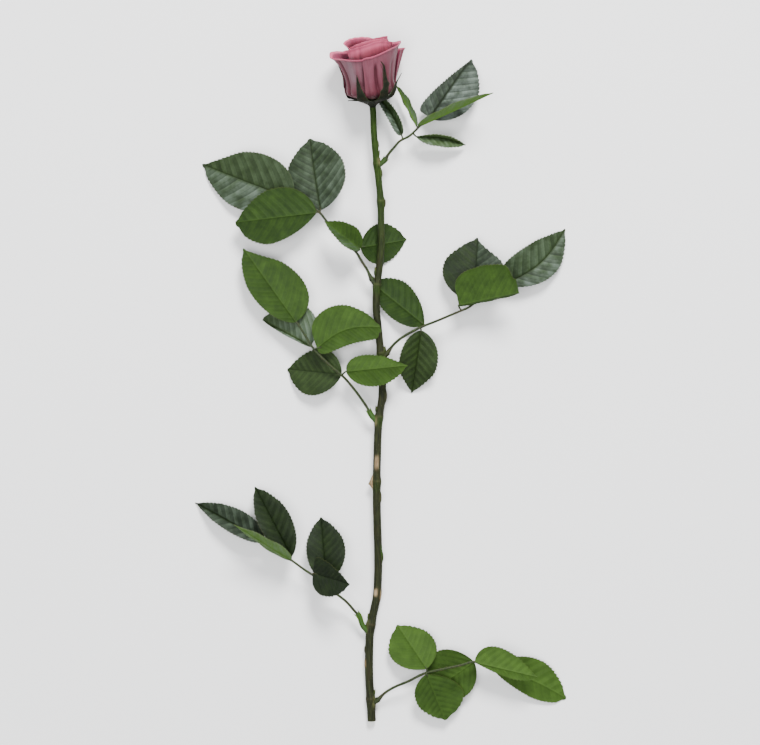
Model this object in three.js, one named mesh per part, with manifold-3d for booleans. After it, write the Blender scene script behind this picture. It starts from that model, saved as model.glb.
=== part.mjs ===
// A single long-stemmed cut rose, laid on a table with its bloom towards +Y.
// Millimetres, +Z up. The origin is on the table, under the middle of the rose.

import * as THREE from 'three';
import { mergeVertices } from 'three/addons/utils/BufferGeometryUtils.js';
import Module from 'manifold-3d';

const wasm = await Module();
wasm.setup();

// Driving dimensions
const SEAT_GAP = 0.3;
const STEM_RADIUS_CUT_END = 3.35;
const STEM_TAPER_POWER = 1.7;
const STEM_RADIUS_NECK = 2.5;
const NODE_SWELL = 0.55;
const NODE_SWELL_LENGTH = 4;
const STALK_RADIUS_FOOT = 2;
const STALK_RADIUS = 1.1;
const STALK_RADIUS_END = 0.75;
const STALK_FOOT_LENGTH = 6;
const BLADE_THICKNESS = 0.7;
const MIDRIB_DEPTH = 0.6;
const TOOTH_DEPTH = 0.9;
const TOOTH_LEAN = 0.35;
const PETAL_THICKNESS = 0.8;
const SEPAL_THICKNESS = 0.8;
const BLOOM_BASE = [-6.8, 224.8, 17.5];
const BLOOM_TILT = 12;
const BLOOM_LEAN = 4.5;
const NECK_LENGTH = 7;

const { degToRad, lerp, smoothstep } = THREE.MathUtils;
const UP = new THREE.Vector3(0, 0, 1);
const vector = ([x, y, z]) => new THREE.Vector3(x, y, z);

// Solids: a closed mesh becomes a manifold, and a manifold becomes a named mesh
function solidOf(geometry) {
  const bare = geometry.clone();
  bare.deleteAttribute('normal');
  bare.deleteAttribute('uv');
  const merged = mergeVertices(bare, 1e-4);
  return new wasm.Manifold(new wasm.Mesh({
    numProp: 3,
    vertProperties: new Float32Array(merged.attributes.position.array),
    triVerts: new Uint32Array(merged.index.array),
  }));
}

function meshOf(name, solid, material) {
  const { vertProperties, triVerts } = solid.getMesh();
  const geometry = new THREE.BufferGeometry();
  geometry.setAttribute('position', new THREE.BufferAttribute(vertProperties, 3));
  geometry.setIndex(new THREE.BufferAttribute(triVerts, 1));
  geometry.computeVertexNormals();
  const mesh = new THREE.Mesh(geometry, material);
  mesh.name = name;
  return mesh;
}

// Keeps the outer skin alone, so that pockets shut in by fusing are filled
function fuse(solids) {
  const skins = solids.reduce((whole, next) => whole.add(next)).decompose();
  return skins.reduce((best, next) => (next.volume() > best.volume() ? next : best));
}

function geometryOf(points, faces) {
  const geometry = new THREE.BufferGeometry();
  geometry.setFromPoints(points);
  geometry.setIndex(faces.flat());
  return geometry;
}

// A tapering round tube along a curve, with flat ends
function tubeAlong(curve, radiusAt, steps, sides) {
  const frames = curve.computeFrenetFrames(steps);
  const points = [];
  const faces = [];
  for (let i = 0; i <= steps; i++) {
    const t = i / steps;
    const centre = curve.getPointAt(t);
    for (let k = 0; k < sides; k++) {
      const angle = (2 * Math.PI * k) / sides;
      points.push(centre.clone()
        .addScaledVector(frames.normals[i], radiusAt(t) * Math.cos(angle))
        .addScaledVector(frames.binormals[i], radiusAt(t) * Math.sin(angle)));
    }
  }
  const ring = (i, k) => i * sides + (k % sides);
  for (let i = 0; i < steps; i++) {
    for (let k = 0; k < sides; k++) {
      faces.push([ring(i, k), ring(i, k + 1), ring(i + 1, k + 1)]);
      faces.push([ring(i, k), ring(i + 1, k + 1), ring(i + 1, k)]);
    }
  }
  for (let k = 1; k < sides - 1; k++) {
    faces.push([ring(0, 0), ring(0, k + 1), ring(0, k)]);
    faces.push([ring(steps, 0), ring(steps, k), ring(steps, k + 1)]);
  }
  return solidOf(geometryOf(points, faces));
}

// Triangles between two lines of points that run side by side; where the
// lines share an end, the triangle that would have no area is left out
function zip(inner, outer, flip) {
  const faces = [];
  let i = 0;
  let j = 0;
  while (i < inner.length - 1 || j < outer.length - 1) {
    const outerNext = (j + 1) / (outer.length - 1);
    const innerNext = (i + 1) / (inner.length - 1);
    const stepOuter = j < outer.length - 1 && (i === inner.length - 1 || outerNext <= innerNext);
    const third = stepOuter ? outer[j + 1] : inner[i + 1];
    const face = [inner[i], outer[j], third];
    if (new Set(face).size === 3) faces.push(flip ? [face[0], face[2], face[1]] : face);
    if (stepOuter) j++;
    else i++;
  }
  return faces;
}

// A thin sheet with both faces split alike and a wall round its edge. What
// would sink under the table is pressed flat on it, at its full thickness.
function sheetSolid(points, faces, thickness, keel = () => 0) {
  const surface = geometryOf(points, faces);
  surface.computeVertexNormals();
  const normals = surface.attributes.normal;
  const over = [];
  const under = [];
  points.forEach((point, i) => {
    const normal = new THREE.Vector3().fromBufferAttribute(normals, i);
    const a = point.clone().addScaledVector(normal, thickness / 2);
    const b = point.clone().addScaledVector(normal, -thickness / 2 - keel(i));
    const [high, low] = a.z > b.z ? [a, b] : [b, a];
    low.z = Math.max(low.z, 0);
    high.z = Math.max(high.z, thickness);
    over.push(a);
    under.push(b);
  });
  const count = points.length;
  const edges = new Set(faces.flatMap(([a, b, c]) => [`${a},${b}`, `${b},${c}`, `${c},${a}`]));
  const skin = faces.flatMap(([a, b, c]) => [[a, b, c], [c + count, b + count, a + count]]);
  for (const edge of edges) {
    const [a, b] = edge.split(',').map(Number);
    if (edges.has(`${b},${a}`)) continue;
    skin.push([a + count, b + count, b], [a + count, b, a]);
  }
  return solidOf(geometryOf([...over, ...under], skin));
}

// Stem
const bloomAxis = new THREE.Vector3(
  -Math.sin(degToRad(BLOOM_LEAN)) * Math.cos(degToRad(BLOOM_TILT)),
  Math.cos(degToRad(BLOOM_LEAN)) * Math.cos(degToRad(BLOOM_TILT)),
  Math.sin(degToRad(BLOOM_TILT)),
);
const stemTop = vector(BLOOM_BASE).addScaledVector(bloomAxis, -NECK_LENGTH - SEAT_GAP);
const STEM_PATH = [
  [-7, -275, 3.2], [-8, -257, 3.8], [-9, -241, 4], [-9, -217, 4.4], [-8.5, -204, 4.8],
  [-6, -189, 5.4], [-3, -175, 5.8], [-2, -157, 6.2], [-2, -137, 6.6], [-2.5, -117, 7],
  [-3, -97, 7.5], [-3, -79, 8], [-2.5, -61, 8.4], [-2, -42.5, 8.8], [-1, -29, 9],
  [1, -17, 9.2], [1.5, -5, 9.3], [1, 13.5, 9.5], [-0.5, 27, 9.6], [-2, 43, 9.8],
  [-3.5, 59, 10], [-3, 73, 10.2], [-1, 89, 10.4], [0.5, 105, 10.6], [0.5, 123, 10.9],
  [0, 143, 11.3], [-1.5, 159, 11.7], [-3, 173, 12.1], [-4.5, 187, 12.7], [-5.5, 201, 13.7],
];
const stemCurve = new THREE.CatmullRomCurve3([
  ...STEM_PATH.map(vector),
  stemTop.clone().addScaledVector(bloomAxis, -6),
  stemTop.clone().addScaledVector(bloomAxis, -2),
  stemTop,
]);
stemCurve.arcLengthDivisions = 800;
const STEM_STEPS = 56;
const STEM_SIDES = 10;

// How far along the stem, from 0 at the cut end to 1 at the neck, a Y lies
function stemPlaceAt(y) {
  let low = 0;
  let high = 1;
  for (let i = 0; i < 30; i++) {
    const middle = (low + high) / 2;
    if (stemCurve.getPointAt(middle).y < y) low = middle;
    else high = middle;
  }
  return low;
}

const NODE_HEIGHTS = [-258, -198, -83, -31, 20, 75, 142, 172];

function stemRadiusAt(t) {
  const y = stemCurve.getPointAt(t).y;
  const swell = NODE_HEIGHTS.reduce(
    (sum, node) => sum + NODE_SWELL * Math.exp(-(((y - node) / NODE_SWELL_LENGTH) ** 2)), 0);
  return lerp(STEM_RADIUS_CUT_END, STEM_RADIUS_NECK, t ** STEM_TAPER_POWER) + swell;
}

const stemTube = (grow) => tubeAlong(
  stemCurve, (t) => stemRadiusAt(t) + grow, STEM_STEPS, STEM_SIDES);

// What stands out of the bark: buds, leaf scars and one short broken prickle.
// side: degrees round the stem from the top of it, positive towards +X
const BARK_BUMPS = [
  { y: 188, side: 80, length: 2.5, width: 1.2, height: 1.4 },
  { y: 165, side: 80, length: 3, width: 1.4, height: 1.6 },
  { y: 141, side: 85, length: 3, width: 1.5, height: 1.4 },
  { y: 87, side: -80, length: 3.5, width: 1.5, height: 1.8 },
  { y: 23.5, side: 80, length: 3.5, width: 1.5, height: 2 },
  { y: -14, side: 85, length: 4, width: 2, height: 1.5 },
  { y: -67, side: 10, length: 5.5, width: 1.8, height: 0.7 },
  { y: -95, side: 80, length: 3.5, width: 1.6, height: 1.2 },
  { y: -143, side: 85, length: 4, width: 1.8, height: 1.5 },
  { y: -171, side: 20, length: 4, width: 1.9, height: 0.8 },
  { y: -226, side: -80, length: 4, width: 1.8, height: 1.3 },
];
const BUMP_SUNK = 0.5;
const PRICKLE = { y: -83, side: -85, length: 6, width: 1.4, height: 3.6 };

function barkFrame({ y, side }) {
  const t = stemPlaceAt(y);
  const along = stemCurve.getTangentAt(t);
  const across = new THREE.Vector3().crossVectors(along, UP).normalize();
  const top = new THREE.Vector3().crossVectors(across, along);
  const out = top.multiplyScalar(Math.cos(degToRad(side)))
    .addScaledVector(across, Math.sin(degToRad(side)));
  const foot = stemCurve.getPointAt(t).addScaledVector(out, stemRadiusAt(t) - BUMP_SUNK);
  const sideways = new THREE.Vector3().crossVectors(out, along);
  return new THREE.Matrix4().makeBasis(sideways, out, along).setPosition(foot);
}

function barkBump(bump, grow) {
  const geometry = new THREE.SphereGeometry(1, 6, 4);
  geometry.scale(bump.width + grow, bump.height + grow, bump.length + grow);
  return solidOf(geometry.applyMatrix4(barkFrame(bump)));
}

function prickle() {
  const geometry = new THREE.ConeGeometry(1, PRICKLE.height, 8);
  geometry.translate(0, PRICKLE.height / 2, 0);
  geometry.scale(PRICKLE.width, 1, PRICKLE.length);
  return solidOf(geometry.applyMatrix4(barkFrame(PRICKLE)));
}

const barkedStem = (grow) => fuse([
  stemTube(grow), ...BARK_BUMPS.map((bump) => barkBump(bump, grow)),
]);

const stem = meshOf(
  'stem',
  fuse([barkedStem(0), prickle()]),
  new THREE.MeshStandardMaterial({ color: 0x46502f, roughness: 0.55, metalness: 0 }),
);

// Leaves: a stalk that grows from the stem, with two pairs of leaflets and
// one at its end. Each leaflet runs from its base to its tip. width is half
// the blade, to the left and to the right; belly is where along the blade it
// is widest, and skew moves that place forward on the left side and back on
// the right. fullness is how round the outline is, and point how much each side
// narrows near the tip. shows is the face that is up: 1 upper side, -1 underside.
// roll turns the blade round its midrib, fold lifts both halves towards the
// upper side, arch bends the midrib that way and bow to the left, in mm.
const LEAFLET_ROWS = 5;
const TEETH_PER_ROW = 1.5;
const OUTLINE_POWER = 1.4;

// Half width of the blade at s, as a share of its widest
function outlineAt(s, belly, fullness, point) {
  const rise = OUTLINE_POWER * fullness * belly;
  const fall = OUTLINE_POWER * fullness * (1 - belly);
  const oval = (s ** rise * (1 - s) ** fall) / (belly ** rise * (1 - belly) ** fall);
  return oval * (1 - point * smoothstep(s, 0.6, 1));
}

function leafletFrame(leaflet) {
  const base = vector(leaflet.base);
  const along = vector(leaflet.tip).sub(base);
  const length = along.length();
  along.normalize();
  const facing = UP.clone().addScaledVector(along, -UP.dot(along)).normalize();
  facing.applyAxisAngle(along, degToRad(leaflet.roll));
  const left = new THREE.Vector3().crossVectors(facing, along);
  return { base, along, length, left, upper: facing.multiplyScalar(leaflet.shows) };
}

// A point of the blade: s from base to tip, u from 1 on its left edge to -1
function leafletPoint(leaflet, frame, s, u) {
  const { width, belly = 0.45, skew = 0, fullness = 1, point = [0.2, 0.2] } = leaflet;
  const { fold, arch = 0, bow = 0 } = leaflet;
  const side = u > 0 ? 0 : 1;
  const half = width[side] * outlineAt(s, belly + skew * Math.sign(u), fullness, point[side]);
  const lift = half * Math.abs(u) * Math.sin(degToRad(fold)) + arch * Math.sin(Math.PI * s);
  return frame.base.clone()
    .addScaledVector(frame.along, frame.length * s)
    .addScaledVector(frame.left, half * u * Math.cos(degToRad(fold)) + bow * Math.sin(Math.PI * s))
    .addScaledVector(frame.upper, lift);
}

function leafletSolid(leaflet) {
  const frame = leafletFrame(leaflet);
  const points = [];
  const add = (s, u, out = 0) => points.push(
    leafletPoint(leaflet, frame, s, u).addScaledVector(frame.left, out * Math.sign(u))) - 1;
  const base = add(0, 0);
  const tip = add(1, 0);
  const line = (count, u, toothed) => {
    const inner = [];
    for (let i = 1; i < count; i++) {
      const tooth = toothed && i % 2 === 1;
      inner.push(add((i + (tooth ? TOOTH_LEAN : 0)) / count, u, tooth ? TOOTH_DEPTH : 0));
    }
    return [base, ...inner, tip];
  };
  const rib = line(LEAFLET_ROWS, 0, false);
  const faces = [];
  for (const side of [1, -1]) {
    const middle = line(LEAFLET_ROWS, side * 0.5, false);
    const margin = line(LEAFLET_ROWS * 2 * TEETH_PER_ROW, side, true);
    const flip = (side > 0) === (leaflet.shows > 0);
    faces.push(...zip(rib, middle, flip), ...zip(middle, margin, flip));
  }
  const ribPlaces = new Map(rib.map((index, i) => [index, i / LEAFLET_ROWS]));
  const keel = (i) => (ribPlaces.has(i) ? MIDRIB_DEPTH * (1 - ribPlaces.get(i)) : 0);
  return sheetSolid(points, faces, BLADE_THICKNESS, keel);
}

const LEAVES = [
  {
    name: 'leaf_upper_right',
    foot: 170,
    stalk: [
      [3, 175, 13.5], [7, 181, 15], [11, 185.5, 16], [15.5, 190.5, 16.5],
      [23, 194.5, 17], [29, 200, 17], [35, 206, 15.5], [39.5, 209, 14],
    ],
    leaflets: [
      {
        base: [17, 195, 15], tip: [-3, 228, 1.5], width: [7, 7], belly: 0.35, fullness: 0.5,
        shows: 1, roll: 0, fold: 55, bow: -2,
      },
      {
        base: [29, 202.5, 17], tip: [12.5, 235.5, 9], width: [6.5, 6.5], fullness: 0.7, shows: -1,
        roll: -68, fold: 22,
      },
      {
        base: [29, 194, 16], tip: [68.5, 188, 5], width: [8, 9], shows: 1, roll: 22, fold: 58,
        bow: 2.5,
      },
      {
        base: [30, 201.5, 26], tip: [90, 228, 36], width: [9.2, 9.2], belly: 0.4, fullness: 0.8,
        shows: -1, roll: 90, fold: 40, bow: -3,
      },
      {
        base: [39.5, 209, 13.5], tip: [73, 257.5, 0.3], width: [11.5, 23], belly: 0.29,
        skew: -0.19, fullness: 0.85, point: [0.1, 0.25], shows: 1, roll: -8, fold: 10, arch: 2,
      },
    ],
  },
  {
    name: 'leaf_upper_left',
    foot: 74,
    stalk: [
      [-7, 80, 11.5], [-11, 88, 13], [-15.5, 95, 14], [-19.5, 101.5, 15], [-27.5, 109, 16.5],
      [-36.5, 118.5, 18], [-44.5, 128, 19.5], [-48.5, 133, 20], [-58, 138.5, 18], [-68.5, 143, 15],
    ],
    leaflets: [
      {
        base: [-16.5, 104, 18], tip: [-45, 126, 26], width: [12, 11], belly: 0.38, shows: -1,
        roll: 25, fold: -35,
      },
      {
        base: [-16, 105.5, 11], tip: [21, 112, 1], width: [16.5, 15.5], belly: 0.46, skew: 0.06,
        shows: -1, roll: 0, fold: 10, arch: 2.5,
      },
      {
        base: [-48, 135, 17], tip: [-57, 193, 7], width: [22, 26], belly: 0.48,
        point: [0.25, 0.1], shows: 1, roll: -12, fold: 10, arch: 2,
      },
      {
        base: [-51, 133, 23], tip: [-116.5, 125.5, 15], width: [20.5, 23.5], belly: 0.53,
        skew: 0.11, shows: -1, roll: 0, fold: 9, arch: -2,
      },
      {
        base: [-70, 144, 14.5], tip: [-143.5, 173, 0.3], width: [22.5, 26], belly: 0.43,
        skew: 0.05, point: [0.2, 0.45], shows: 1, roll: -10, fold: 8, arch: 3,
      },
    ],
  },
  {
    name: 'leaf_middle_right',
    foot: 15,
    stalk: [
      [5.5, 21, 11], [10, 27, 12.5], [15.5, 32, 13.5], [23.5, 37, 14.5], [32.5, 41.5, 15.5],
      [47.5, 47.5, 17], [60.5, 53, 18], [70, 57, 18.5], [75.5, 61, 18], [84.5, 67, 16.5],
      [92.5, 73, 14],
    ],
    leaflets: [
      {
        base: [35, 43.5, 14], tip: [-7, 77.5, 3], width: [12, 17], belly: 0.53, skew: -0.07,
        shows: -1, roll: 0, fold: 10, arch: 2,
      },
      {
        base: [32.5, 39, 14.5], tip: [25, -11.5, 0.3], width: [17.5, 16], belly: 0.43,
        point: [0.4, 0.4], shows: 1, roll: -8, fold: 25, arch: 2,
      },
      {
        base: [74, 61.5, 16.5], tip: [78, 113.5, 8], width: [26, 23], belly: 0.47,
        point: [0.3, 0.75], shows: 1, roll: -8, fold: 10, arch: 1,
      },
      {
        base: [62.5, 59, 20.5], tip: [110.5, 69, 34], width: [28, 3], belly: 0.5, fullness: 0.25,
        point: [0, 0], shows: -1, roll: 30, fold: 30,
      },
      {
        base: [98, 75.5, 13.5], tip: [148.5, 121, 0.3], width: [18.5, 14], belly: 0.45,
        skew: -0.07, point: [0.3, 0.3], shows: 1, roll: 6, fold: 12, arch: 2, bow: -7,
      },
    ],
  },
  {
    name: 'leaf_middle_left',
    foot: -36,
    stalk: [
      [-7, -29.5, 10.5], [-11, -22.5, 12], [-19, -11, 14.5], [-29, 1, 17], [-40.5, 11, 18.5],
      [-52.5, 23, 19.5], [-59.5, 33.5, 19], [-66, 44, 18.5],
    ],
    leaflets: [
      {
        base: [-27.5, 6, 20], tip: [22, 11, 24], width: [12, 14.5], belly: 0.37, skew: -0.07,
        shows: -1, roll: 0, fold: 18,
      },
      {
        base: [-31, 3.5, 14], tip: [-75, 8, 0.3], width: [19, 18.5], belly: 0.45, skew: 0.07,
        shows: 1, roll: 0, fold: 10, arch: 1,
      },
      {
        base: [-51, 24.5, 21], tip: [0, 41.5, 18.5], width: [22, 12.5], belly: 0.42, skew: -0.14,
        fullness: 0.45, point: [0.15, 0], shows: -1, roll: 0, fold: 12, bow: 7,
      },
      {
        base: [-55.5, 26, 15], tip: [-95, 47.5, 3], width: [2.5, 27], belly: 0.45, fullness: 0.6,
        shows: 1, roll: 18, fold: 26,
      },
      {
        base: [-67.5, 45.5, 18.5], tip: [-110, 105, 12], width: [16.5, 24], belly: 0.42,
        skew: 0.08, point: [0.15, 0.5], shows: -1, roll: 0, fold: 12, arch: -1,
      },
    ],
  },
  {
    name: 'leaf_lower_left',
    foot: -205,
    stalk: [
      [-14.5, -197.5, 7.5], [-17, -190.5, 9.5], [-20.5, -186.5, 10.5], [-27.5, -178.5, 12.5],
      [-35.5, -172, 14], [-47, -162, 15.5], [-60.5, -153, 16.5], [-71.5, -145, 16.5],
      [-82.5, -137.5, 15.5], [-93.5, -131, 13.5],
    ],
    leaflets: [
      {
        base: [-43.5, -162, 14.5], tip: [-48, -111, 4], width: [14.5, 18.5],
        shows: 1, roll: 0, fold: 22, arch: 1,
      },
      {
        base: [-53.5, -155.5, 18], tip: [-24.5, -163.5, 34], width: [15, 15], belly: 0.265,
        skew: -0.145, fullness: 0.7, shows: 1, roll: 12, fold: 18,
      },
      {
        base: [-71.5, -142.5, 17.5], tip: [-101, -86.5, 8], width: [14, 15.5], belly: 0.46,
        shows: 1, roll: 10, fold: 30, arch: 1,
      },
      {
        base: [-72, -145, 21], tip: [-117, -116, 32], width: [11, 11], belly: 0.3,
        shows: -1, roll: -65, fold: 15,
      },
      {
        base: [-93.5, -130, 13], tip: [-149.5, -99.5, 0.3], width: [9, 13.5], belly: 0.38,
        shows: 1, roll: 12, fold: 32, arch: 1,
      },
    ],
  },
  {
    name: 'leaf_lower_right',
    foot: -262,
    stalk: [
      [-2, -257.5, 6.5], [3.5, -252, 9], [11.5, -247, 11], [22, -242.5, 13], [35, -236, 15],
      [51.5, -232, 16.5], [65, -229, 17], [74, -226.5, 17], [83.5, -228, 16], [92.5, -230.5, 14.5],
    ],
    leaflets: [
      {
        base: [37, -232, 16.5], tip: [13.5, -197.5, 6], width: [19, 18], belly: 0.48, skew: 0.07,
        shows: -1, roll: 0, fold: 12,
      },
      {
        base: [37, -236.5, 16.5], tip: [52, -274, 8], width: [22, 16], belly: 0.52, skew: 0.08,
        shows: -1, roll: 0, fold: 10,
      },
      {
        base: [75, -227, 10], tip: [38, -254, 0.5], width: [18, 24], belly: 0.45, shows: -1,
        roll: 0, fold: -4, arch: 1,
      },
      {
        base: [75, -226.5, 20], tip: [125.5, -238.5, 19], width: [16, 6], belly: 0.5, skew: -0.2,
        shows: -1, roll: 0, fold: 12,
      },
      {
        base: [89, -231, 14.5], tip: [149.5, -257, 0.3], width: [17, 13], belly: 0.56, skew: -0.06,
        shows: -1, roll: 0, fold: 10, bow: 3,
      },
    ],
  },
];

const STALK_STEPS = 16;
const STALK_SIDES = 6;
// The little stalk of each leaflet, which runs a short way up its midrib
const TWIG_RADIUS = 0.8;
const TWIG_RADIUS_END = 0.45;
const TWIG_REACH = 4;
const TWIG_STEPS = 2;
const TWIG_SIDES = 4;

function nearestOn(curve, point) {
  const samples = curve.getSpacedPoints(80);
  return samples.reduce((best, next) => (
    next.distanceToSquared(point) < best.distanceToSquared(point) ? next : best));
}

function leafSolid({ foot, stalk, leaflets }) {
  const root = stemCurve.getPointAt(stemPlaceAt(foot));
  const curve = new THREE.CatmullRomCurve3([root, ...stalk.map(vector)]);
  const length = curve.getLength();
  const radiusAt = (t) => {
    const foot = 1 - smoothstep(t * length, STALK_FOOT_LENGTH, 2.5 * STALK_FOOT_LENGTH);
    return lerp(STALK_RADIUS, STALK_RADIUS_END, t) + (STALK_RADIUS_FOOT - STALK_RADIUS) * foot;
  };
  const pieces = [tubeAlong(curve, radiusAt, STALK_STEPS, STALK_SIDES)];
  leaflets.forEach((leaflet) => {
    const { base, along } = leafletFrame(leaflet);
    const start = nearestOn(curve, base);
    const end = base.clone().addScaledVector(along, TWIG_REACH);
    const twig = new THREE.CatmullRomCurve3([start, base, end]);
    const twigRadiusAt = (t) => lerp(TWIG_RADIUS, TWIG_RADIUS_END, t);
    pieces.push(leafletSolid(leaflet), tubeAlong(twig, twigRadiusAt, TWIG_STEPS, TWIG_SIDES));
  });
  return fuse([fuse(pieces).subtract(barkedStem(SEAT_GAP))]);
}

const leafMeshes = LEAVES.map((leaf) => meshOf(
  leaf.name, leafSolid(leaf),
  new THREE.MeshStandardMaterial({ color: 0x4d6a3f, roughness: 0.5, metalness: 0 }),
));

// Flower frame: x to the right, y along the bloom's axis, z to the front
const flowerFront = UP.clone().addScaledVector(bloomAxis, -UP.dot(bloomAxis)).normalize();
const flowerRight = new THREE.Vector3().crossVectors(bloomAxis, flowerFront);
const flowerPlace = new THREE.Matrix4()
  .makeBasis(flowerRight, bloomAxis, flowerFront)
  .setPosition(vector(BLOOM_BASE));

// A point at a turn round the axis in degrees, 0 at the front and 90 at the right
const flowerPoint = (turn, radius, height) => new THREE.Vector3(
  radius * Math.sin(degToRad(turn)), height, radius * Math.cos(degToRad(turn)),
).applyMatrix4(flowerPlace);

const lathe = (profile, sides) => solidOf(
  new THREE.LatheGeometry(profile.map(([r, h]) => new THREE.Vector2(r, h)), sides)
    .applyMatrix4(flowerPlace));

// How round a petal's foot is, from nothing at its start to one
const bowlRoundness = (share) => Math.sqrt(1 - (1 - Math.min(share, 1)) ** 2);

// A petal from its points along and across
function petalSolid(columns, rows, pointAt) {
  const points = [];
  const lines = columns.map((across) => rows.map((v) => points.push(pointAt(across, v)) - 1));
  const faces = lines.slice(1).flatMap((line, j) => zip(lines[j], line, false));
  return sheetSolid(points, faces, PETAL_THICKNESS);
}

// Opening petals, whose rims show. A rim is its turns, radii and heights from
// one side to the other; body is the petal's radius lower down on each side,
// and swell how late it flares.
const OPENING_PETALS = [
  {
    body: [20, 18], swell: 2.7, rim: [
      [-140, 23, 36.6], [-120, 25.6, 38.4], [-108, 27.2, 39.4], [-95, 29.6, 39.2],
      [-86, 30.4, 36], [-74, 27.6, 35.6], [-56, 25.2, 35.8], [-38, 24, 35.2], [-24, 23, 35],
      [-8, 22, 34.8],
    ],
  },
  {
    body: [21.2, 16.4], swell: 2, rim: [
      [-13, 24, 35.4], [3, 24.2, 37], [17, 24.4, 38.5], [34, 24.6, 40.6], [48, 24.8, 42],
      [64, 25.1, 43], [81, 25.6, 43.8], [96, 25.8, 44.4], [112, 23, 43.4], [133, 20.7, 41.6],
    ],
  },
  {
    body: [18.4, 20], swell: 1.4, rim: [
      [90, 25.4, 38.4], [95, 27, 38.6], [100.5, 30.2, 38.2], [108, 29.6, 37.6],
      [135, 26.5, 36.5], [165, 25.5, 36],
    ],
  },
  {
    body: [20.4, 21], swell: 2.1, rim: [
      [120, 25.5, 35], [145, 27, 38.5], [160, 27.4, 39.4], [176, 27.8, 40], [192, 27.4, 39.4],
      [205, 27, 38.5], [232, 25.5, 34],
    ],
  },
  {
    body: [20.6, 20.6], swell: 2.1, rim: [
      [-185, 25, 33], [-165, 26, 36], [-140, 27.6, 37.5], [-115, 27, 36], [-100, 25.5, 33],
    ],
  },
  {
    body: [16.4, 17.2], swell: 2.1, rim: [
      [-80, 13, 30], [-62, 16.4, 38], [-50, 18.8, 42], [-28, 19, 44.4], [-6, 18.8, 46.2],
      [14, 18.7, 48], [33, 18.7, 48.4], [52, 19, 47.2], [75, 19.2, 45], [95, 18.5, 41],
    ],
  },
  {
    body: [14.6, 15.4], swell: 2.1, rim: [
      [-90, 13, 37], [-62, 16.2, 43.4], [-30, 16.8, 46.8], [-4, 16.9, 48.9], [25, 17, 49.6],
      [60, 17, 48.6], [85, 16.4, 45], [105, 15, 41],
    ],
  },
  {
    body: [13.6, 13.6], swell: 8, rim: [
      [-204, 16.4, 45.6], [-180, 16.2, 47.8], [-150, 16.4, 48.6], [-118, 17, 48.4],
      [-104, 17.8, 47.4], [-92, 19.3, 46.2], [-84, 18, 44.8], [-70, 16.2, 43],
      [-52, 14.6, 40.6],
    ],
  },
  {
    body: [14.2, 14.2], swell: 4, rim: [
      [60, 14.6, 45], [82, 15.2, 47], [100, 16.2, 48], [118, 17.4, 48.6], [135, 16.4, 47.8],
      [158, 15.6, 46.6], [180, 15.4, 46.4], [205, 15, 44],
    ],
  },
];
const OPENING_BOWL = 0.16;
const OPENING_ROWS = [0.012, 0.05, 0.13, 0.44, 0.78, 1];

function openingPetal({ body, swell, rim }) {
  const first = rim[0][0];
  const last = rim[rim.length - 1][0];
  return petalSolid(rim, OPENING_ROWS, ([turn, rimRadius, rimHeight], v) => {
    const own = lerp(...body, (turn - first) / (last - first));
    const radius = own * bowlRoundness(v / OPENING_BOWL) + (rimRadius - own) * v ** swell;
    return flowerPoint(turn, radius, rimHeight * v);
  });
}

// Petals still wrapped in the bud. turn and spread in degrees; radius is the
// petal's own at its rim, before lip, the outward curl of its middle; drop is
// how far its rim falls to both sides; tuck draws one side in.
const GOLDEN_ANGLE = 137.5;
const INNER_COUNT = 9;
const OUTERMOST_INNER = {
  turn: -20, spread: 70, radius: 13.5, height: 43.5, lip: 1.2, drop: 0.06, tuck: 0.04,
  start: 0.02,
};
const INNERMOST = { spread: 125, radius: 3, height: 41, lip: 0, start: 0.44 };
const INNER_BOWL = 0.12;
const BOWL_RADIUS = 0.7;
const INNER_COLUMNS = [-1, -0.6, -0.2, 0.2, 0.6, 1];
const INNER_ROWS = [0, 0.3, 0.65, 1];

function innerPetal(k) {
  const inward = k / (INNER_COUNT - 1);
  const between = (key, share) => lerp(OUTERMOST_INNER[key], INNERMOST[key], share);
  const { drop, tuck } = OUTERMOST_INNER;
  const turn = OUTERMOST_INNER.turn + GOLDEN_ANGLE * k;
  return petalSolid(INNER_COLUMNS, INNER_ROWS, (u, share) => {
    const v = lerp(between('start', inward), 1, share);
    const bowl = bowlRoundness(v / INNER_BOWL);
    const profile = BOWL_RADIUS * bowl + (1 - BOWL_RADIUS) * v ** 1.6;
    const curl = between('lip', inward) * smoothstep(v, 0.55, 1) * (1 - u * u);
    const radius = between('radius', inward ** 0.9) * profile * (1 + tuck * u) + curl;
    const height = between('height', inward) * v * (1 - drop * Math.abs(u) ** 1.6);
    return flowerPoint(turn + between('spread', inward) * u, radius, height);
  });
}

const BLOOM_CORE = [[0, 0], [6, 0], [8.5, 4], [9.5, 12], [8.5, 20], [5, 28], [0, 32]];

const bloom = meshOf(
  'bloom',
  fuse([
    lathe(BLOOM_CORE, 12),
    ...OPENING_PETALS.map(openingPetal),
    ...Array.from({ length: INNER_COUNT }, (_, k) => innerPetal(k)),
  ]),
  new THREE.MeshStandardMaterial({ color: 0xc07a93, roughness: 0.6, metalness: 0 }),
);

// Calyx: the swollen end of the stem and its five sepals
const RECEPTACLE = [
  [0, -NECK_LENGTH], [2.5, -NECK_LENGTH], [3.2, -5.7], [6.2, -3.7], [10.6, -1.7], [12.8, -0.7],
  [13.6, -0.1], [13.2, 0.2], [11, -0.1], [8, -SEAT_GAP], [0, -SEAT_GAP],
];
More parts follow.
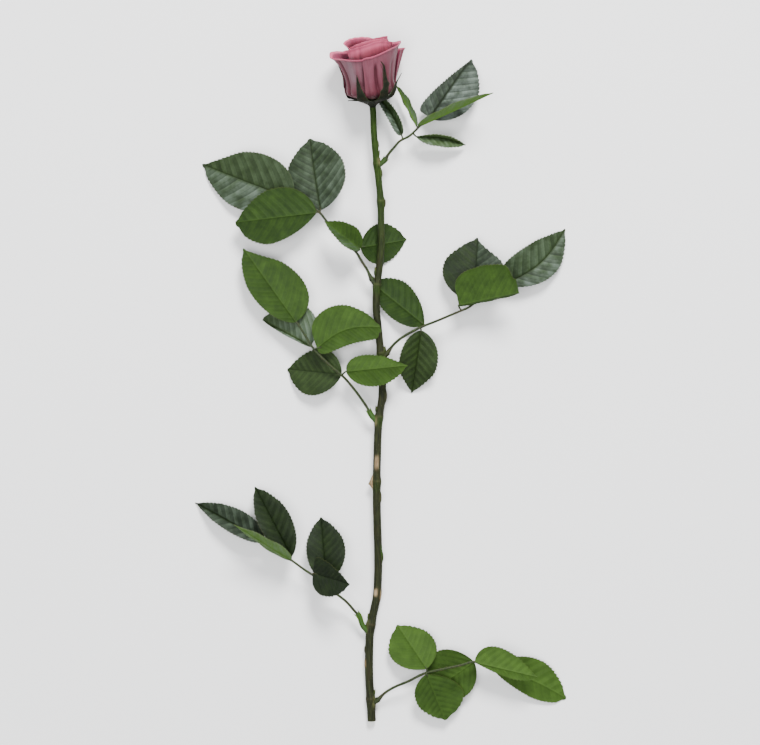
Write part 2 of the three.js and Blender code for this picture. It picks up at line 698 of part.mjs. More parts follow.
// Each sepal's line from the receptacle to its tip, as turn, radius and height;
// strap is the width it keeps towards the tip
const SEPALS = [
  {
    width: 7.8, narrowing: 1.3, strap: 0.4, line: [
      [-20, 9, -1.6], [-21, 14, -0.5], [-22, 20, 1.2], [-23, 23.4, 6.5], [-26, 23.4, 13],
      [-27, 24, 22.5],
    ],
  },
  {
    width: 5.6, narrowing: 1.8, strap: 1.1, line: [
      [26, 9, -1.6], [26, 14, -0.5], [26, 19.6, 1.6], [28, 22.8, 7], [31, 23.4, 12],
      [30, 23.5, 18], [29, 24.1, 23.5], [27, 24.7, 28.5], [21, 25.6, 32.5],
    ],
  },
  {
    width: 5, narrowing: 1.1, strap: 1.8, line: [
      [52, 9, -1.6], [52, 14, -0.5], [54, 18.6, 1.4], [62, 21.2, 6], [73, 22, 12],
      [84, 25.2, 18.8],
    ],
  },
  {
    width: 5, narrowing: 1, strap: 1, line: [
      [-118, 9, -1.6], [-118, 14, -0.5], [-116, 20.4, 1.6], [-113, 22.8, 10], [-109, 23.1, 19],
      [-105, 25.6, 27.5],
    ],
  },
  {
    width: 3.4, narrowing: 0.8, strap: 0.2, line: [
      [-97, 9, -1.4], [-97, 12, -1.2], [-97, 14.5, -1], [-97, 16.5, -0.8], [-97, 18, -0.8],
      [-97, 19.5, -1],
    ],
  },
];
const SEPAL_ROWS = 7;

function sepalSolid({ width, narrowing, strap, line }) {
  const curve = new THREE.CatmullRomCurve3(line.map(vector));
  const points = [];
  const tipIndex = points.push(flowerPoint(...line[line.length - 1])) - 1;
  const edge = (u) => {
    const indices = [];
    for (let i = 0; i < SEPAL_ROWS; i++) {
      const s = i / SEPAL_ROWS;
      const [turn, radius, height] = curve.getPoint(s).toArray();
      const half = width * (1 - s) ** narrowing + strap * (1 - s) ** 0.3;
      const away = (u * half / radius) * (180 / Math.PI);
      indices.push(points.push(flowerPoint(turn + away, radius, height)) - 1);
    }
    return [...indices, tipIndex];
  };
  const [left, middle, right] = [-1, 0, 1].map(edge);
  const faces = [...zip(left, middle, false), ...zip(middle, right, false)];
  return sheetSolid(points, faces, SEPAL_THICKNESS);
}

const calyx = meshOf(
  'calyx',
  fuse([lathe(RECEPTACLE, 16), ...SEPALS.map(sepalSolid)]),
  new THREE.MeshStandardMaterial({ color: 0x3f5a30, roughness: 0.6, metalness: 0 }),
);

const rose = new THREE.Group();
rose.add(stem, calyx, bloom, ...leafMeshes);

export default rose;
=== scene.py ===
import math

import bpy
import numpy as np
from mathutils import Matrix, Vector


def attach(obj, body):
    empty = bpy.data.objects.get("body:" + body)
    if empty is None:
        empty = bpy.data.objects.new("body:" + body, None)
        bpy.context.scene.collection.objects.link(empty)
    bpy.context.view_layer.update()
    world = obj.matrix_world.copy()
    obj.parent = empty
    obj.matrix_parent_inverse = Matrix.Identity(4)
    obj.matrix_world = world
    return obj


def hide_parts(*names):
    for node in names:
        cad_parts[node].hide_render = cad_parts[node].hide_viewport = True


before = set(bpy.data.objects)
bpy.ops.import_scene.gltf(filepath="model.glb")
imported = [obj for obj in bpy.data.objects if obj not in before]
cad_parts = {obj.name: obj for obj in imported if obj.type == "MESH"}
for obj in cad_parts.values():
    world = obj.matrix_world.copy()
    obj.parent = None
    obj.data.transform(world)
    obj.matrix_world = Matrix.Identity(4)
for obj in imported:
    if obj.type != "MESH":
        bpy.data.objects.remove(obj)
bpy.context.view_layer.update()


# Stem
# The shoot of the rose, round and green under an olive-brown bark. It was cut
# at its foot, and it shows its leaf nodes, buds, leaf scars and one prickle.

STEM_LINE = [
    (-7, -275, 3.2), (-8, -257, 3.8), (-9, -241, 4), (-9, -217, 4.4), (-8.5, -204, 4.8),
    (-6, -189, 5.4), (-3, -175, 5.8), (-2, -157, 6.2), (-2, -137, 6.6), (-2.5, -117, 7),
    (-3, -97, 7.5), (-3, -79, 8), (-2.5, -61, 8.4), (-2, -42.5, 8.8), (-1, -29, 9),
    (1, -17, 9.2), (1.5, -5, 9.3), (1, 13.5, 9.5), (-0.5, 27, 9.6), (-2, 43, 9.8),
    (-3.5, 59, 10), (-3, 73, 10.2), (-1, 89, 10.4), (0.5, 105, 10.6), (0.5, 123, 10.9),
    (0, 143, 11.3), (-1.5, 159, 11.7), (-3, 173, 12.1), (-4.5, 187, 12.7), (-5.5, 201, 13.7),
]
STEM_RADIUS_CUT_END = 3.35
STEM_RADIUS_NECK = 2.5
STEM_RINGS = 560
STEM_SIDES = 40
NODES = [-258, -198, -83, -31, 20, 75, 142, 172]
NODE_SWELL = 0.55
NODE_SWELL_LENGTH = 4
STEM_TAPER_POWER = 1.7
COLLAR_HEIGHT = 0.16
BUD_RINGS = 14
BUD_SIDES = 16
PRICKLE_RINGS = 12
PRICKLE_SIDES = 20

BLOOM_BASE = np.array([-6.8, 224.8, 17.5])
BLOOM_TILT = math.radians(12)
BLOOM_LEAN = math.radians(4.5)
NECK_LENGTH = 7.3
bloom_axis = np.array([
    -math.sin(BLOOM_LEAN) * math.cos(BLOOM_TILT),
    math.cos(BLOOM_LEAN) * math.cos(BLOOM_TILT),
    math.sin(BLOOM_TILT)])

# What stands out of the bark: where it is along the stem, its side in degrees
# from the top, positive towards +X, its half length, half width and height,
# and how tan and how green it is
BARK_MARKS = [
    dict(y=188, side=80, long=2.5, wide=1.2, high=0.8, tan=0.1, green=0.6),
    dict(y=174, side=55, long=3, wide=2.2, high=0.4, tan=0.3, green=1),
    dict(y=165, side=80, long=3, wide=1.4, high=1, tan=0.1, green=0.5),
    dict(y=141, side=85, long=3, wide=1.5, high=0.9, tan=0.2, green=0.3),
    dict(y=20, side=85, long=5, wide=2.4, high=0.4, tan=0.1, green=0.4),
    dict(y=-14, side=85, long=4, wide=2, high=0.9, tan=0.1, green=0.2),
    dict(y=-34, side=-60, long=4, wide=2.4, high=0.4, tan=0.3, green=0.9),
    dict(y=-67, side=-8, long=5.2, wide=1.7, high=0.3, tan=1, green=0),
    dict(y=-95, side=80, long=3.5, wide=1.6, high=0.8, tan=0.1, green=0.2),
    dict(y=-138, side=60, long=4.5, wide=1.6, high=0.1, tan=0, green=1),
    dict(y=-143, side=85, long=3.6, wide=1.8, high=1, tan=0, green=1),
    dict(y=-171.5, side=-22, long=3, wide=1.6, high=0.3, tan=1, green=0.2),
    dict(y=-173, side=72, long=4, wide=1.4, high=0.5, tan=0.9, green=0),
    dict(y=-199, side=-70, long=5, wide=2.6, high=0.4, tan=0.2, green=1),
    dict(y=-217.5, side=-85, long=2.4, wide=1.4, high=0.8, tan=0.1, green=0.2),
    dict(y=-228.5, side=-75, long=3, wide=1.6, high=0.5, tan=1, green=0.2),
    dict(y=-260, side=60, long=4.5, wide=2.4, high=0.4, tan=0.2, green=0.9),
]
# Buds in the leaf axils: place, side, length and half width
BUDS = [
    dict(y=84, side=-78, long=8, wide=1.5), dict(y=20, side=75, long=8, wide=1.6),
    dict(y=179, side=78, long=6, wide=1.2), dict(y=-26, side=-72, long=6, wide=1.3),
    dict(y=-193, side=-74, long=6, wide=1.3), dict(y=-254, side=74, long=6, wide=1.3),
]
PRICKLE = dict(y=-83, side=-85, long=6, wide=1.4, high=3.6)


def unit(vectors):
    return vectors / np.linalg.norm(vectors, axis=-1, keepdims=True)


def smooth_line(points, count):
    """Points evenly spaced along the smooth curve that passes through the given ones."""
    given = np.array(points, float)
    given = np.vstack([2 * given[0] - given[1], given, 2 * given[-1] - given[-2]])
    stretches = []
    for a, b, c, d in zip(given, given[1:], given[2:], given[3:]):
        before, here, after = (
            max(np.linalg.norm(q - p), 1e-4) ** 0.5 for p, q in ((a, b), (b, c), (c, d)))
        leaving = ((b - a) / before - (c - a) / (before + here) + (c - b) / here) * here
        arriving = ((c - b) / here - (d - b) / (here + after) + (d - c) / after) * here
        w = np.linspace(0, 1, 24, endpoint=False)[:, None]
        stretches.append(
            b + leaving * w + (3 * (c - b) - 2 * leaving - arriving) * w ** 2
            + (2 * (b - c) + leaving + arriving) * w ** 3)
    line = np.vstack(stretches + [given[-2:-1]])
    travelled = np.concatenate([[0], np.cumsum(np.linalg.norm(np.diff(line, axis=0), axis=1))])
    stops = np.linspace(0, travelled[-1], count)
    return np.stack([np.interp(stops, travelled, line[:, k]) for k in range(3)], axis=1)


def directions(line):
    """Along the line, to its right seen from above, and to its top."""
    along = unit(np.gradient(line, axis=0))
    across = unit(np.cross(along, [0, 0, 1]))
    return along, across, np.cross(across, along)


class Skin:
    """Sheets and tubes gathered for one mesh, in millimetres, with what marks each vertex."""

    def __init__(self, *marks):
        self.points, self.faces, self.finishes = [], [], []
        self.marks = {name: [] for name in marks}
        self.count = 0

    def add_points(self, points, **marks):
        points = points.reshape(-1, 3)
        for name, values in self.marks.items():
            values.append(np.broadcast_to(marks.get(name, 0.0), len(points)).astype(float))
        self.points.append(points)
        self.count += len(points)
        return self.count - len(points)

    def add_faces(self, faces, finish=0):
        self.faces += np.asarray(faces).tolist()
        self.finishes += [finish] * len(faces)

    def net(self, first, rows, columns, closed, outwards=True, finish=0):
        """Four-sided faces between the points of a grid."""
        i, j = np.meshgrid(
            np.arange(rows - 1), np.arange(columns - (not closed)), indexing="ij")
        k = (j + 1) % columns
        corners = [i * columns + j, i * columns + k, (i + 1) * columns + k, (i + 1) * columns + j]
        faces = first + np.stack(corners, -1).reshape(-1, 4)
        self.add_faces(faces if outwards else faces[:, ::-1], finish)

    def tube(self, rings, finish=0, **marks):
        """A closed tube through rings of points, which are filled at both ends."""
        rows, columns = rings.shape[:2]
        marks = {name: np.broadcast_to(values, (rows, columns)).ravel()
                 for name, values in marks.items()}
        first = self.add_points(rings, **marks)
        self.net(first, rows, columns, True, finish=finish)
        self.add_faces([list(range(first + columns - 1, first - 1, -1))], finish)
        last = first + (rows - 1) * columns
        self.add_faces([list(range(last, last + columns))], finish)

    def sheet(self, face, back, finishes=(0, 0), **marks):
        """A thin blade between two grids of points, closed round its rim."""
        rows, columns = face.shape[:2]
        marks = {name: np.broadcast_to(values, (rows, columns)).ravel()
                 for name, values in marks.items()}
        top = self.add_points(face, **marks)
        bottom = self.add_points(back, **marks)
        self.net(top, rows, columns, False, True, finishes[0])
        self.net(bottom, rows, columns, False, False, finishes[1])
        grid = np.arange(rows * columns).reshape(rows, columns)
        rim = np.concatenate([
            grid[0, :-1], grid[:-1, -1], grid[-1, :0:-1], grid[:0:-1, 0]])
        following = np.roll(rim, -1)
        self.add_faces(np.stack(
            [top + following, top + rim, bottom + rim, bottom + following], -1), finishes[1])

    def piece(self, name, *finishes):
        mesh = bpy.data.meshes.new(name)
        mesh.from_pydata((np.vstack(self.points) * 0.001).tolist(), [], self.faces)
        for mark, values in self.marks.items():
            mesh.attributes.new(mark, "FLOAT", "POINT").data.foreach_set(
                "value", np.concatenate(values))
        mesh.polygons.foreach_set("material_index", self.finishes)
        mesh.polygons.foreach_set("use_smooth", [True] * len(self.faces))
        for finish in finishes:
            mesh.materials.append(finish)
        mesh.set_sharp_from_angle(angle=math.radians(55))
        piece = bpy.data.objects.new(name, mesh)
        bpy.context.scene.collection.objects.link(piece)
        return piece


def hold(piece, node):
    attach(piece, "root")
    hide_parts(node)


class Value:
    """What comes out of a node. Python's operators on it add Math nodes."""

    def __init__(self, recipe, node, socket):
        self.recipe, self.node, self.socket = recipe, node, socket

    def out(self, name):
        return Value(self.recipe, self.node, self.node.outputs[name])

    def maths(self, operation, *values):
        return self.recipe.node(
            "ShaderNodeMath", {"operation": operation}, dict(enumerate(values)))

    def __add__(self, other): return self.maths("ADD", self, other)
    def __radd__(self, other): return self.maths("ADD", other, self)
    def __sub__(self, other): return self.maths("SUBTRACT", self, other)
    def __rsub__(self, other): return self.maths("SUBTRACT", other, self)
    def __mul__(self, other): return self.maths("MULTIPLY", self, other)
    def __rmul__(self, other): return self.maths("MULTIPLY", other, self)
    def __truediv__(self, other): return self.maths("DIVIDE", self, other)
    def __rtruediv__(self, other): return self.maths("DIVIDE", other, self)
    def __pow__(self, other): return self.maths("POWER", self, other)
    def __abs__(self): return self.maths("ABSOLUTE", self)
    def sine(self): return self.maths("SINE", self)
    def cosine(self): return self.maths("COSINE", self)
    def root(self): return self.maths("SQRT", self)
    def fraction(self): return self.maths("FRACT", self)
    def most(self, other): return self.maths("MAXIMUM", self, other)
    def least(self, other): return self.maths("MINIMUM", self, other)

    def between(self, low, high):
        """0 below low and 1 above high, turning smoothly between them."""
        return self.recipe.node(
            "ShaderNodeMapRange", {"interpolation_type": "SMOOTHSTEP"},
            {"Value": self, "From Min": low, "From Max": high})


class Recipe:
    """A node tree as it is written down, for a finish or for a shape."""

    def __init__(self, tree):
        self.tree = tree
        tree.nodes.clear()

    def node(self, kind, settings=None, sockets=None):
        """Adds a node of that type: its settings first, then its sockets' values or links."""
        made = self.tree.nodes.new(kind)
        for key, setting in (settings or {}).items():
            setattr(made, key, setting)
        for key, value in (sockets or {}).items():
            socket = made.inputs[key] if isinstance(key, int) else next(
                s for s in made.inputs if s.enabled and s.name == key)
            for each in value if isinstance(value, list) else [value]:
                if isinstance(each, Value):
                    self.tree.links.new(each.socket, socket)
                else:
                    socket.default_value = each
        return Value(self, made, next((s for s in made.outputs if s.enabled), None))

    def mark(self, name):
        """A mark that the mesh carries, such as how tan the bark is."""
        return self.node("ShaderNodeAttribute", {"attribute_name": name}).out("Fac")

    def blend(self, share, a, b):
        return self.node("ShaderNodeMix", {"data_type": "RGBA"}, {"Factor": share, "A": a, "B": b})

    def stretched(self, x, y, z):
        """Object coordinates in millimetres, drawn out by these shares."""
        place = self.node("ShaderNodeTexCoord").out("Object")
        return self.node(
            "ShaderNodeMapping", {}, {"Vector": place, "Scale": (1000 * x, 1000 * y, 1000 * z)})

    def noise(self, place, scale, detail=3.0, roughness=0.55):
        return self.node("ShaderNodeTexNoise", {}, {
            "Vector": place, "Scale": scale, "Detail": detail, "Roughness": roughness})

    def bump(self, height, depth, strength=1.0):
        """Relief of that depth in millimetres."""
        return self.node("ShaderNodeBump", {}, {
            "Height": height, "Distance": depth * 0.001, "Strength": strength})

    def surface(self, **sockets):
        shader = self.node("ShaderNodeBsdfPrincipled", {}, {
            key.replace("_", " "): value for key, value in sockets.items()})
        self.node("ShaderNodeOutputMaterial", {}, {"Surface": shader})


def finish(name):
    material = bpy.data.materials.new(name)
    material.use_nodes = True
    return material, Recipe(material.node_tree)


def dye(red, green, blue):
    """A colour as it is seen, 0 to 255, as the linear one that a shader takes."""
    linear = [(c / 255 / 12.92) if c <= 10 else ((c / 255 + 0.055) / 1.055) ** 2.4
              for c in (red, green, blue)]
    return (*linear, 1.0)


stem_top = BLOOM_BASE - NECK_LENGTH * bloom_axis
stem_line = smooth_line(
    STEM_LINE + [tuple(stem_top - 6 * bloom_axis), tuple(stem_top - 2 * bloom_axis),
                 tuple(stem_top)], STEM_RINGS)
stem_along, stem_across, stem_up = directions(stem_line)


def stem_radius(share, y):
    """The bare stem's radius at a share of its length, with the swelling of its nodes."""
    swell = sum(NODE_SWELL * np.exp(-((y - node) / NODE_SWELL_LENGTH) ** 2) for node in NODES)
    return (STEM_RADIUS_CUT_END
            + (STEM_RADIUS_NECK - STEM_RADIUS_CUT_END) * share ** STEM_TAPER_POWER + swell)


def bark_place(y, side, out=0.0):
    """A point on the bark, with the way along the stem, out of it and round it."""
    ring = int(np.argmin(abs(stem_line[:, 1] - y)))
    angle = math.radians(side)
    outward = stem_up[ring] * math.cos(angle) + stem_across[ring] * math.sin(angle)
    radius = stem_radius(ring / (STEM_RINGS - 1), stem_line[ring, 1])
    return (stem_line[ring] + outward * (radius + out), stem_along[ring], outward,
            np.cross(outward, stem_along[ring]))


share = np.linspace(0, 1, STEM_RINGS)[:, None]
height = stem_line[:, 1:2]
angle = np.linspace(0, 2 * math.pi, STEM_SIDES, endpoint=False)[None, :]
bare = stem_radius(share, height)
rise = 0.06 * np.sin(5 * angle + 0.04 * height) + 0.05 * np.sin(3 * angle - 0.11 * height)
tan = np.zeros((STEM_RINGS, STEM_SIDES))
green = np.zeros((STEM_RINGS, STEM_SIDES))
for node in NODES:
    collar = np.exp(-((height - node - 1) / 0.7) ** 2)
    rise = rise + COLLAR_HEIGHT * collar
    below = np.clip((node - height) / 12, 0, 1)
    tan = np.maximum(tan, 0.07 * collar)
    green = np.maximum(green, 0.6 * np.exp(-((below - 0.25) / 0.4) ** 2) * (height < node + 2)
                       * np.clip((node + 120) / 60, 0, 1))
for mark in BARK_MARKS:
    round_it = (angle - math.radians(mark["side"]) + math.pi) % (2 * math.pi) - math.pi
    spot = np.exp(-((height - mark["y"]) / mark["long"]) ** 4
                  - (bare * round_it / mark["wide"]) ** 4)
    rise = rise + mark["high"] * spot ** 0.7
    tan = np.maximum(tan, mark["tan"] * spot)
    green = np.maximum(green, mark["green"] * spot)
radius = bare + rise
rings = (stem_line[:, None] + radius[..., None] * (
    stem_up[:, None] * np.cos(angle)[..., None] + stem_across[:, None] * np.sin(angle)[..., None]))

stem_skin = Skin("tan", "green", "cut")
# The cut end is slightly domed: each ring's share of the stem's width, and how far it stands out
CUT_DOME = [(0.15, 0.55), (0.4, 0.5), (0.7, 0.35), (0.88, 0.2), (0.97, 0.05)]
cut_rings = [stem_line[0] + (rings[0] - stem_line[0]) * size - stem_along[0] * out
             for size, out in CUT_DOME]
rings = np.concatenate([np.array(cut_rings), rings])
cut = np.concatenate([np.ones(len(CUT_DOME) - 1), np.zeros(1 + STEM_RINGS)])[:, None]
blank = np.zeros((len(CUT_DOME), STEM_SIDES))
stem_skin.tube(rings, tan=np.vstack([blank, tan]), green=np.vstack([blank, green]), cut=cut)

for bud in BUDS:
    place, along, outward, aside = bark_place(bud["y"], bud["side"], -0.6)
    share = np.linspace(0, 1, BUD_RINGS)[:, None]
    line = place + along * (share - 0.25) * bud["long"] + outward * 1.4 * share ** 1.5
    girth = bud["wide"] * np.sin(math.pi * share ** 0.75) ** 0.8 + 0.02
    turn = np.linspace(0, 2 * math.pi, BUD_SIDES, endpoint=False)[None, :]
    scales = 1 + 0.07 * np.sin(2 * turn + 9 * share)
    ring = (line[:, None]
            + (girth * scales * np.cos(turn))[..., None] * outward * 0.8
            - (girth * scales * np.sin(turn))[..., None] * aside)
    stem_skin.tube(ring, green=0.5 + 0.4 * share, tan=0.25 * share ** 3)

place, along, outward, aside = bark_place(PRICKLE["y"], PRICKLE["side"], -0.5)
share = np.linspace(0, 1, PRICKLE_RINGS)[:, None, None]
turn = np.linspace(0, 2 * math.pi, PRICKLE_SIDES, endpoint=False)[None, :, None]
shrink = (1 - share) ** 1.15 + 0.04
prickle_rings = (
    place + outward * PRICKLE["high"] * share - along * 1.6 * share ** 2
    + along * np.cos(turn) * PRICKLE["long"] * shrink
    + aside * np.sin(turn) * PRICKLE["wide"] * shrink)
stem_skin.tube(prickle_rings, tan=0.95 - 0.3 * share[..., 0])

bark, it = finish("olive bark")
grain = it.noise(it.stretched(1, 0.06, 1), 1.6, 4.0)
blotch = it.noise(it.stretched(1, 0.5, 1), 0.16, 2.0)
pores = it.node("ShaderNodeTexVoronoi", {"feature": "F1"}, {
    "Vector": it.stretched(1, 0.4, 1), "Scale": 0.75}).between(0.16, 0.1)
up_stem = it.node("ShaderNodeSeparateXYZ", {}, {
    "Vector": it.node("ShaderNodeTexCoord").out("Object")}).out("Y")
olive = it.blend(grain.between(0.35, 0.7), dye(19, 22, 10), dye(42, 46, 24))
olive = it.blend(blotch.between(0.5, 0.75) * 0.5, olive, dye(38, 32, 18))
fresh = it.blend(grain.between(0.3, 0.7), dye(22, 38, 6), dye(42, 64, 16))
colour = it.blend((up_stem.between(0.06, 0.19) * 0.9).most(it.mark("green")), olive, fresh)
colour = it.blend(pores * 0.3, colour, dye(104, 104, 66))
scar = it.blend(grain.between(0.35, 0.65), dye(100, 80, 56), dye(150, 132, 102))
colour = it.blend(it.mark("tan"), colour, scar)
pith_grain = it.noise(it.stretched(1, 1, 1), 2.2).between(0.4, 0.6)
pith = it.blend(pith_grain, dye(150, 158, 106), dye(190, 190, 142))
colour = it.blend(it.mark("cut"), colour, pith)
it.surface(
    Base_Color=colour, Roughness=0.55 + 0.25 * grain, Specular_IOR_Level=0.12,
    Normal=it.bump(grain + pores * 0.5, 0.12))

hold(stem_skin.piece("stem_bark", bark), "stem")


# Leaves
# Each leaf is one grooved stalk with two pairs of leaflets and one at its end.
# A leaflet is a thin green blade, glossy above and dull below, with a midrib,
# side veins that sink into its upper face, and a saw-toothed edge.

# tone makes a leaflet paler or darker: partly its own green, partly painted
# light and shade for how the leaflet lies to the lamps. haze is a painted glossy
# highlight, grey-green, given apart for its left and its right side. A stipule is
# the length, width and tone of the two wings at the foot of the stalk.
LEAVES = {
    "leaf_upper_right": dict(
        foot=170,
        stipule=(10, 1.1, 0.8),
        stalk=[
            (3, 175, 13.5), (7, 181, 15), (11, 185.5, 16), (15.5, 190.5, 16.5), (23, 194.5, 17),
            (29, 200, 17), (35, 206, 15.5), (39.5, 209, 14),
        ],
        leaflets=[
            dict(base=(17, 195, 15), tip=(-3, 228, 1.5), width=(7, 7), belly=0.35, fullness=0.5,
                 shows=1, roll=0, fold=55, bow=-2, painted_gloss=(0.7, 0.1)),
            dict(base=(29, 202.5, 17), tip=(12.5, 235.5, 9), width=(6.5, 6.5), fullness=0.7,
                 shows=-1, roll=-68, fold=22, tone=1.3, painted_gloss=(0.4, 0.4)),
            dict(base=(29, 194, 16), tip=(68.5, 188, 5), width=(8, 9), shows=1, roll=22, fold=58,
                 bow=2.5, tone=1, painted_gloss=(0.1, 0.4)),
            dict(base=(30, 201.5, 26), tip=(90, 228, 36), width=(9.2, 9.2), belly=0.4,
                 fullness=0.8, shows=-1, roll=90, fold=40, bow=-3, tone=1.9, painted_gloss=(0.3, 0.3)),
            dict(base=(39.5, 209, 13.5), tip=(73, 257.5, 0.3), width=(11.5, 23), belly=0.29,
                 skew=-0.19, fullness=0.85, point=(0.1, 0.25), shows=1, roll=-8, fold=10, arch=2,
                 tone=-0.7, painted_gloss=(0.25, 0.75)),
        ]),
    "leaf_upper_left": dict(
        foot=74,
        stipule=(8, 0.8, -0.4),
        stalk=[
            (-7, 80, 11.5), (-11, 88, 13), (-15.5, 95, 14), (-19.5, 101.5, 15),
            (-27.5, 109, 16.5), (-36.5, 118.5, 18), (-44.5, 128, 19.5), (-48.5, 133, 20),
            (-58, 138.5, 18), (-68.5, 143, 15),
        ],
        leaflets=[
            dict(base=(-16.5, 104, 18), tip=(-45, 126, 26), width=(12, 11), belly=0.38, shows=-1,
                 roll=25, fold=-35, tone=0, painted_gloss=(0.25, 0)),
            dict(base=(-16, 105.5, 11), tip=(21, 112, 1), width=(16.5, 15.5), belly=0.46,
                 skew=0.06, shows=-1, roll=0, fold=10, arch=2.5, tone=-0.5),
            dict(base=(-48, 135, 17), tip=(-57, 193, 7), width=(22, 26), belly=0.48,
                 point=(0.25, 0.1), shows=1, roll=-12, fold=10, arch=2, tone=-0.3,
                 painted_gloss=(0.2, 0.25)),
            dict(base=(-51, 133, 23), tip=(-116.5, 125.5, 15), width=(20.5, 23.5), belly=0.53,
                 skew=0.11, shows=-1, roll=0, fold=9, arch=-2, tone=-0.4),
            dict(base=(-70, 144, 14.5), tip=(-143.5, 173, 0.3), width=(22.5, 26), belly=0.43,
                 skew=0.05, point=(0.2, 0.45), shows=1, roll=-10, fold=8, arch=3, tone=0,
                 painted_gloss=(0.5, 0.1)),
        ]),
    "leaf_middle_right": dict(
        foot=15,
        stipule=(8, 0.9, -0.5),
        stalk=[
            (5.5, 21, 11), (10, 27, 12.5), (15.5, 32, 13.5), (23.5, 37, 14.5),
            (32.5, 41.5, 15.5), (47.5, 47.5, 17), (60.5, 53, 18), (70, 57, 18.5),
            (75.5, 61, 18), (84.5, 67, 16.5), (92.5, 73, 14),
        ],
        leaflets=[
            dict(base=(35, 43.5, 14), tip=(-7, 77.5, 3), width=(12, 17), belly=0.53, skew=-0.07,
                 shows=-1, roll=0, fold=10, arch=2, tone=-0.5),
            dict(base=(32.5, 39, 14.5), tip=(25, -11.5, 0.3), width=(17.5, 16), belly=0.43,
                 point=(0.4, 0.4), shows=1, roll=-8, fold=25, arch=2, tone=0),
            dict(base=(74, 61.5, 16.5), tip=(78, 113.5, 8), width=(26, 23), belly=0.47,
                 point=(0.3, 0.75), shows=1, roll=-8, fold=10, arch=1, tone=-0.5, painted_gloss=(0, 0.3)),
            dict(base=(62.5, 59, 20.5), tip=(110.5, 69, 34), width=(28, 3), belly=0.5,
                 fullness=0.25, point=(0, 0), shows=-1, roll=30, fold=30, tone=0),
            dict(base=(98, 75.5, 13.5), tip=(148.5, 121, 0.3), width=(18.5, 14), belly=0.45,
                 skew=-0.07, point=(0.3, 0.3), shows=1, roll=6, fold=12, arch=2, bow=-7,
                 painted_gloss=(0.2, 0.55)),
        ]),
    "leaf_middle_left": dict(
        foot=-36,
        stipule=(14, 1.3, 1.3),
        stalk=[
            (-7, -29.5, 10.5), (-11, -22.5, 12), (-19, -11, 14.5), (-29, 1, 17),
            (-40.5, 11, 18.5), (-52.5, 23, 19.5), (-59.5, 33.5, 19), (-66, 44, 18.5),
        ],
        leaflets=[
            dict(base=(-27.5, 6, 20), tip=(22, 11, 24), width=(12, 14.5), belly=0.37, skew=-0.07,
                 shows=-1, roll=0, fold=18, tone=0.2),
            dict(base=(-31, 3.5, 14), tip=(-75, 8, 0.3), width=(19, 18.5), belly=0.45, skew=0.07,
                 shows=1, roll=0, fold=10, arch=1),
            dict(base=(-51, 24.5, 21), tip=(0, 41.5, 18.5), width=(22, 12.5), belly=0.42,
                 skew=-0.14, fullness=0.45, point=(0.15, 0), shows=-1, roll=0, fold=12, bow=7,
                 tone=0.1),
            dict(base=(-55.5, 26, 15), tip=(-95, 47.5, 3), width=(2.5, 27), belly=0.45,
                 fullness=0.6, shows=1, roll=18, fold=26, tone=0.6, painted_gloss=(0.6, 0.4)),
            dict(base=(-67.5, 45.5, 18.5), tip=(-110, 105, 12), width=(16.5, 24), belly=0.42,
                 skew=0.08, point=(0.15, 0.5), shows=-1, roll=0, fold=12, arch=-1, tone=-0.1),
        ]),
    "leaf_lower_left": dict(
        foot=-205,
        stipule=(21, 1.6, 1.4),
        stalk=[
            (-14.5, -197.5, 7.5), (-17, -190.5, 9.5), (-20.5, -186.5, 10.5),
            (-27.5, -178.5, 12.5), (-35.5, -172, 14), (-47, -162, 15.5), (-60.5, -153, 16.5),
            (-71.5, -145, 16.5), (-82.5, -137.5, 15.5), (-93.5, -131, 13.5),
        ],
        leaflets=[
            dict(base=(-43.5, -162, 14.5), tip=(-48, -111, 4), width=(14.5, 18.5), shows=1,
                 roll=0, fold=22, arch=1, tone=-0.6),
            dict(base=(-53.5, -155.5, 18), tip=(-24.5, -163.5, 34), width=(15, 15), belly=0.265,
                 skew=-0.145, fullness=0.7, shows=1, roll=12, fold=18, tone=-0.7),
            dict(base=(-71.5, -142.5, 17.5), tip=(-101, -86.5, 8), width=(14, 15.5), belly=0.46,
                 shows=1, roll=10, fold=30, arch=1, tone=-0.6),
            dict(base=(-72, -145, 21), tip=(-117, -116, 32), width=(11, 11), belly=0.3, shows=-1,
                 roll=-65, fold=15, tone=1.2, painted_gloss=(0.2, 0.2)),
            dict(base=(-93.5, -130, 13), tip=(-149.5, -99.5, 0.3), width=(9, 13.5), belly=0.38,
                 shows=1, roll=12, fold=32, arch=1, tone=-0.6, painted_gloss=(0.2, 0.2)),
        ]),
    "leaf_lower_right": dict(
        foot=-262,
        stipule=(8, 0.8, -0.7),
        stalk=[
            (-2, -257.5, 6.5), (3.5, -252, 9), (11.5, -247, 11), (22, -242.5, 13),
            (35, -236, 15), (51.5, -232, 16.5), (65, -229, 17), (74, -226.5, 17),
            (83.5, -228, 16), (92.5, -230.5, 14.5),
        ],
        leaflets=[
            dict(base=(37, -232, 16.5), tip=(13.5, -197.5, 6), width=(19, 18), belly=0.48,
                 skew=0.07, shows=-1, roll=0, fold=12, tone=0.4),
            dict(base=(37, -236.5, 16.5), tip=(52, -274, 8), width=(22, 16), belly=0.52,
                 skew=0.08, shows=-1, roll=0, fold=10, tone=0),
            dict(base=(75, -227, 10), tip=(38, -254, 0.5), width=(18, 24), belly=0.45, shows=-1,
                 roll=0, fold=-4, arch=1, tone=0.2),
            dict(base=(75, -226.5, 20), tip=(125.5, -238.5, 19), width=(16, 6), belly=0.5,
                 skew=-0.2, shows=-1, roll=0, fold=12, tone=0.5),
            dict(base=(89, -231, 14.5), tip=(149.5, -257, 0.3), width=(17, 13), belly=0.56,
                 skew=-0.06, shows=-1, roll=0, fold=10, bow=3, tone=0.5),
        ]),
}
BLADE_THICKNESS = 0.36
OUTLINE_POWER = 1.4
TOOTH_SPACING = 2.9
TOOTH_DEPTH = 0.95
TOOTH_STOPS = [0, 0.32, 0.62, 0.88]
VEINS_A_SIDE = 8.5
QUILTING = 0.36
RIB_HEIGHT = 0.5
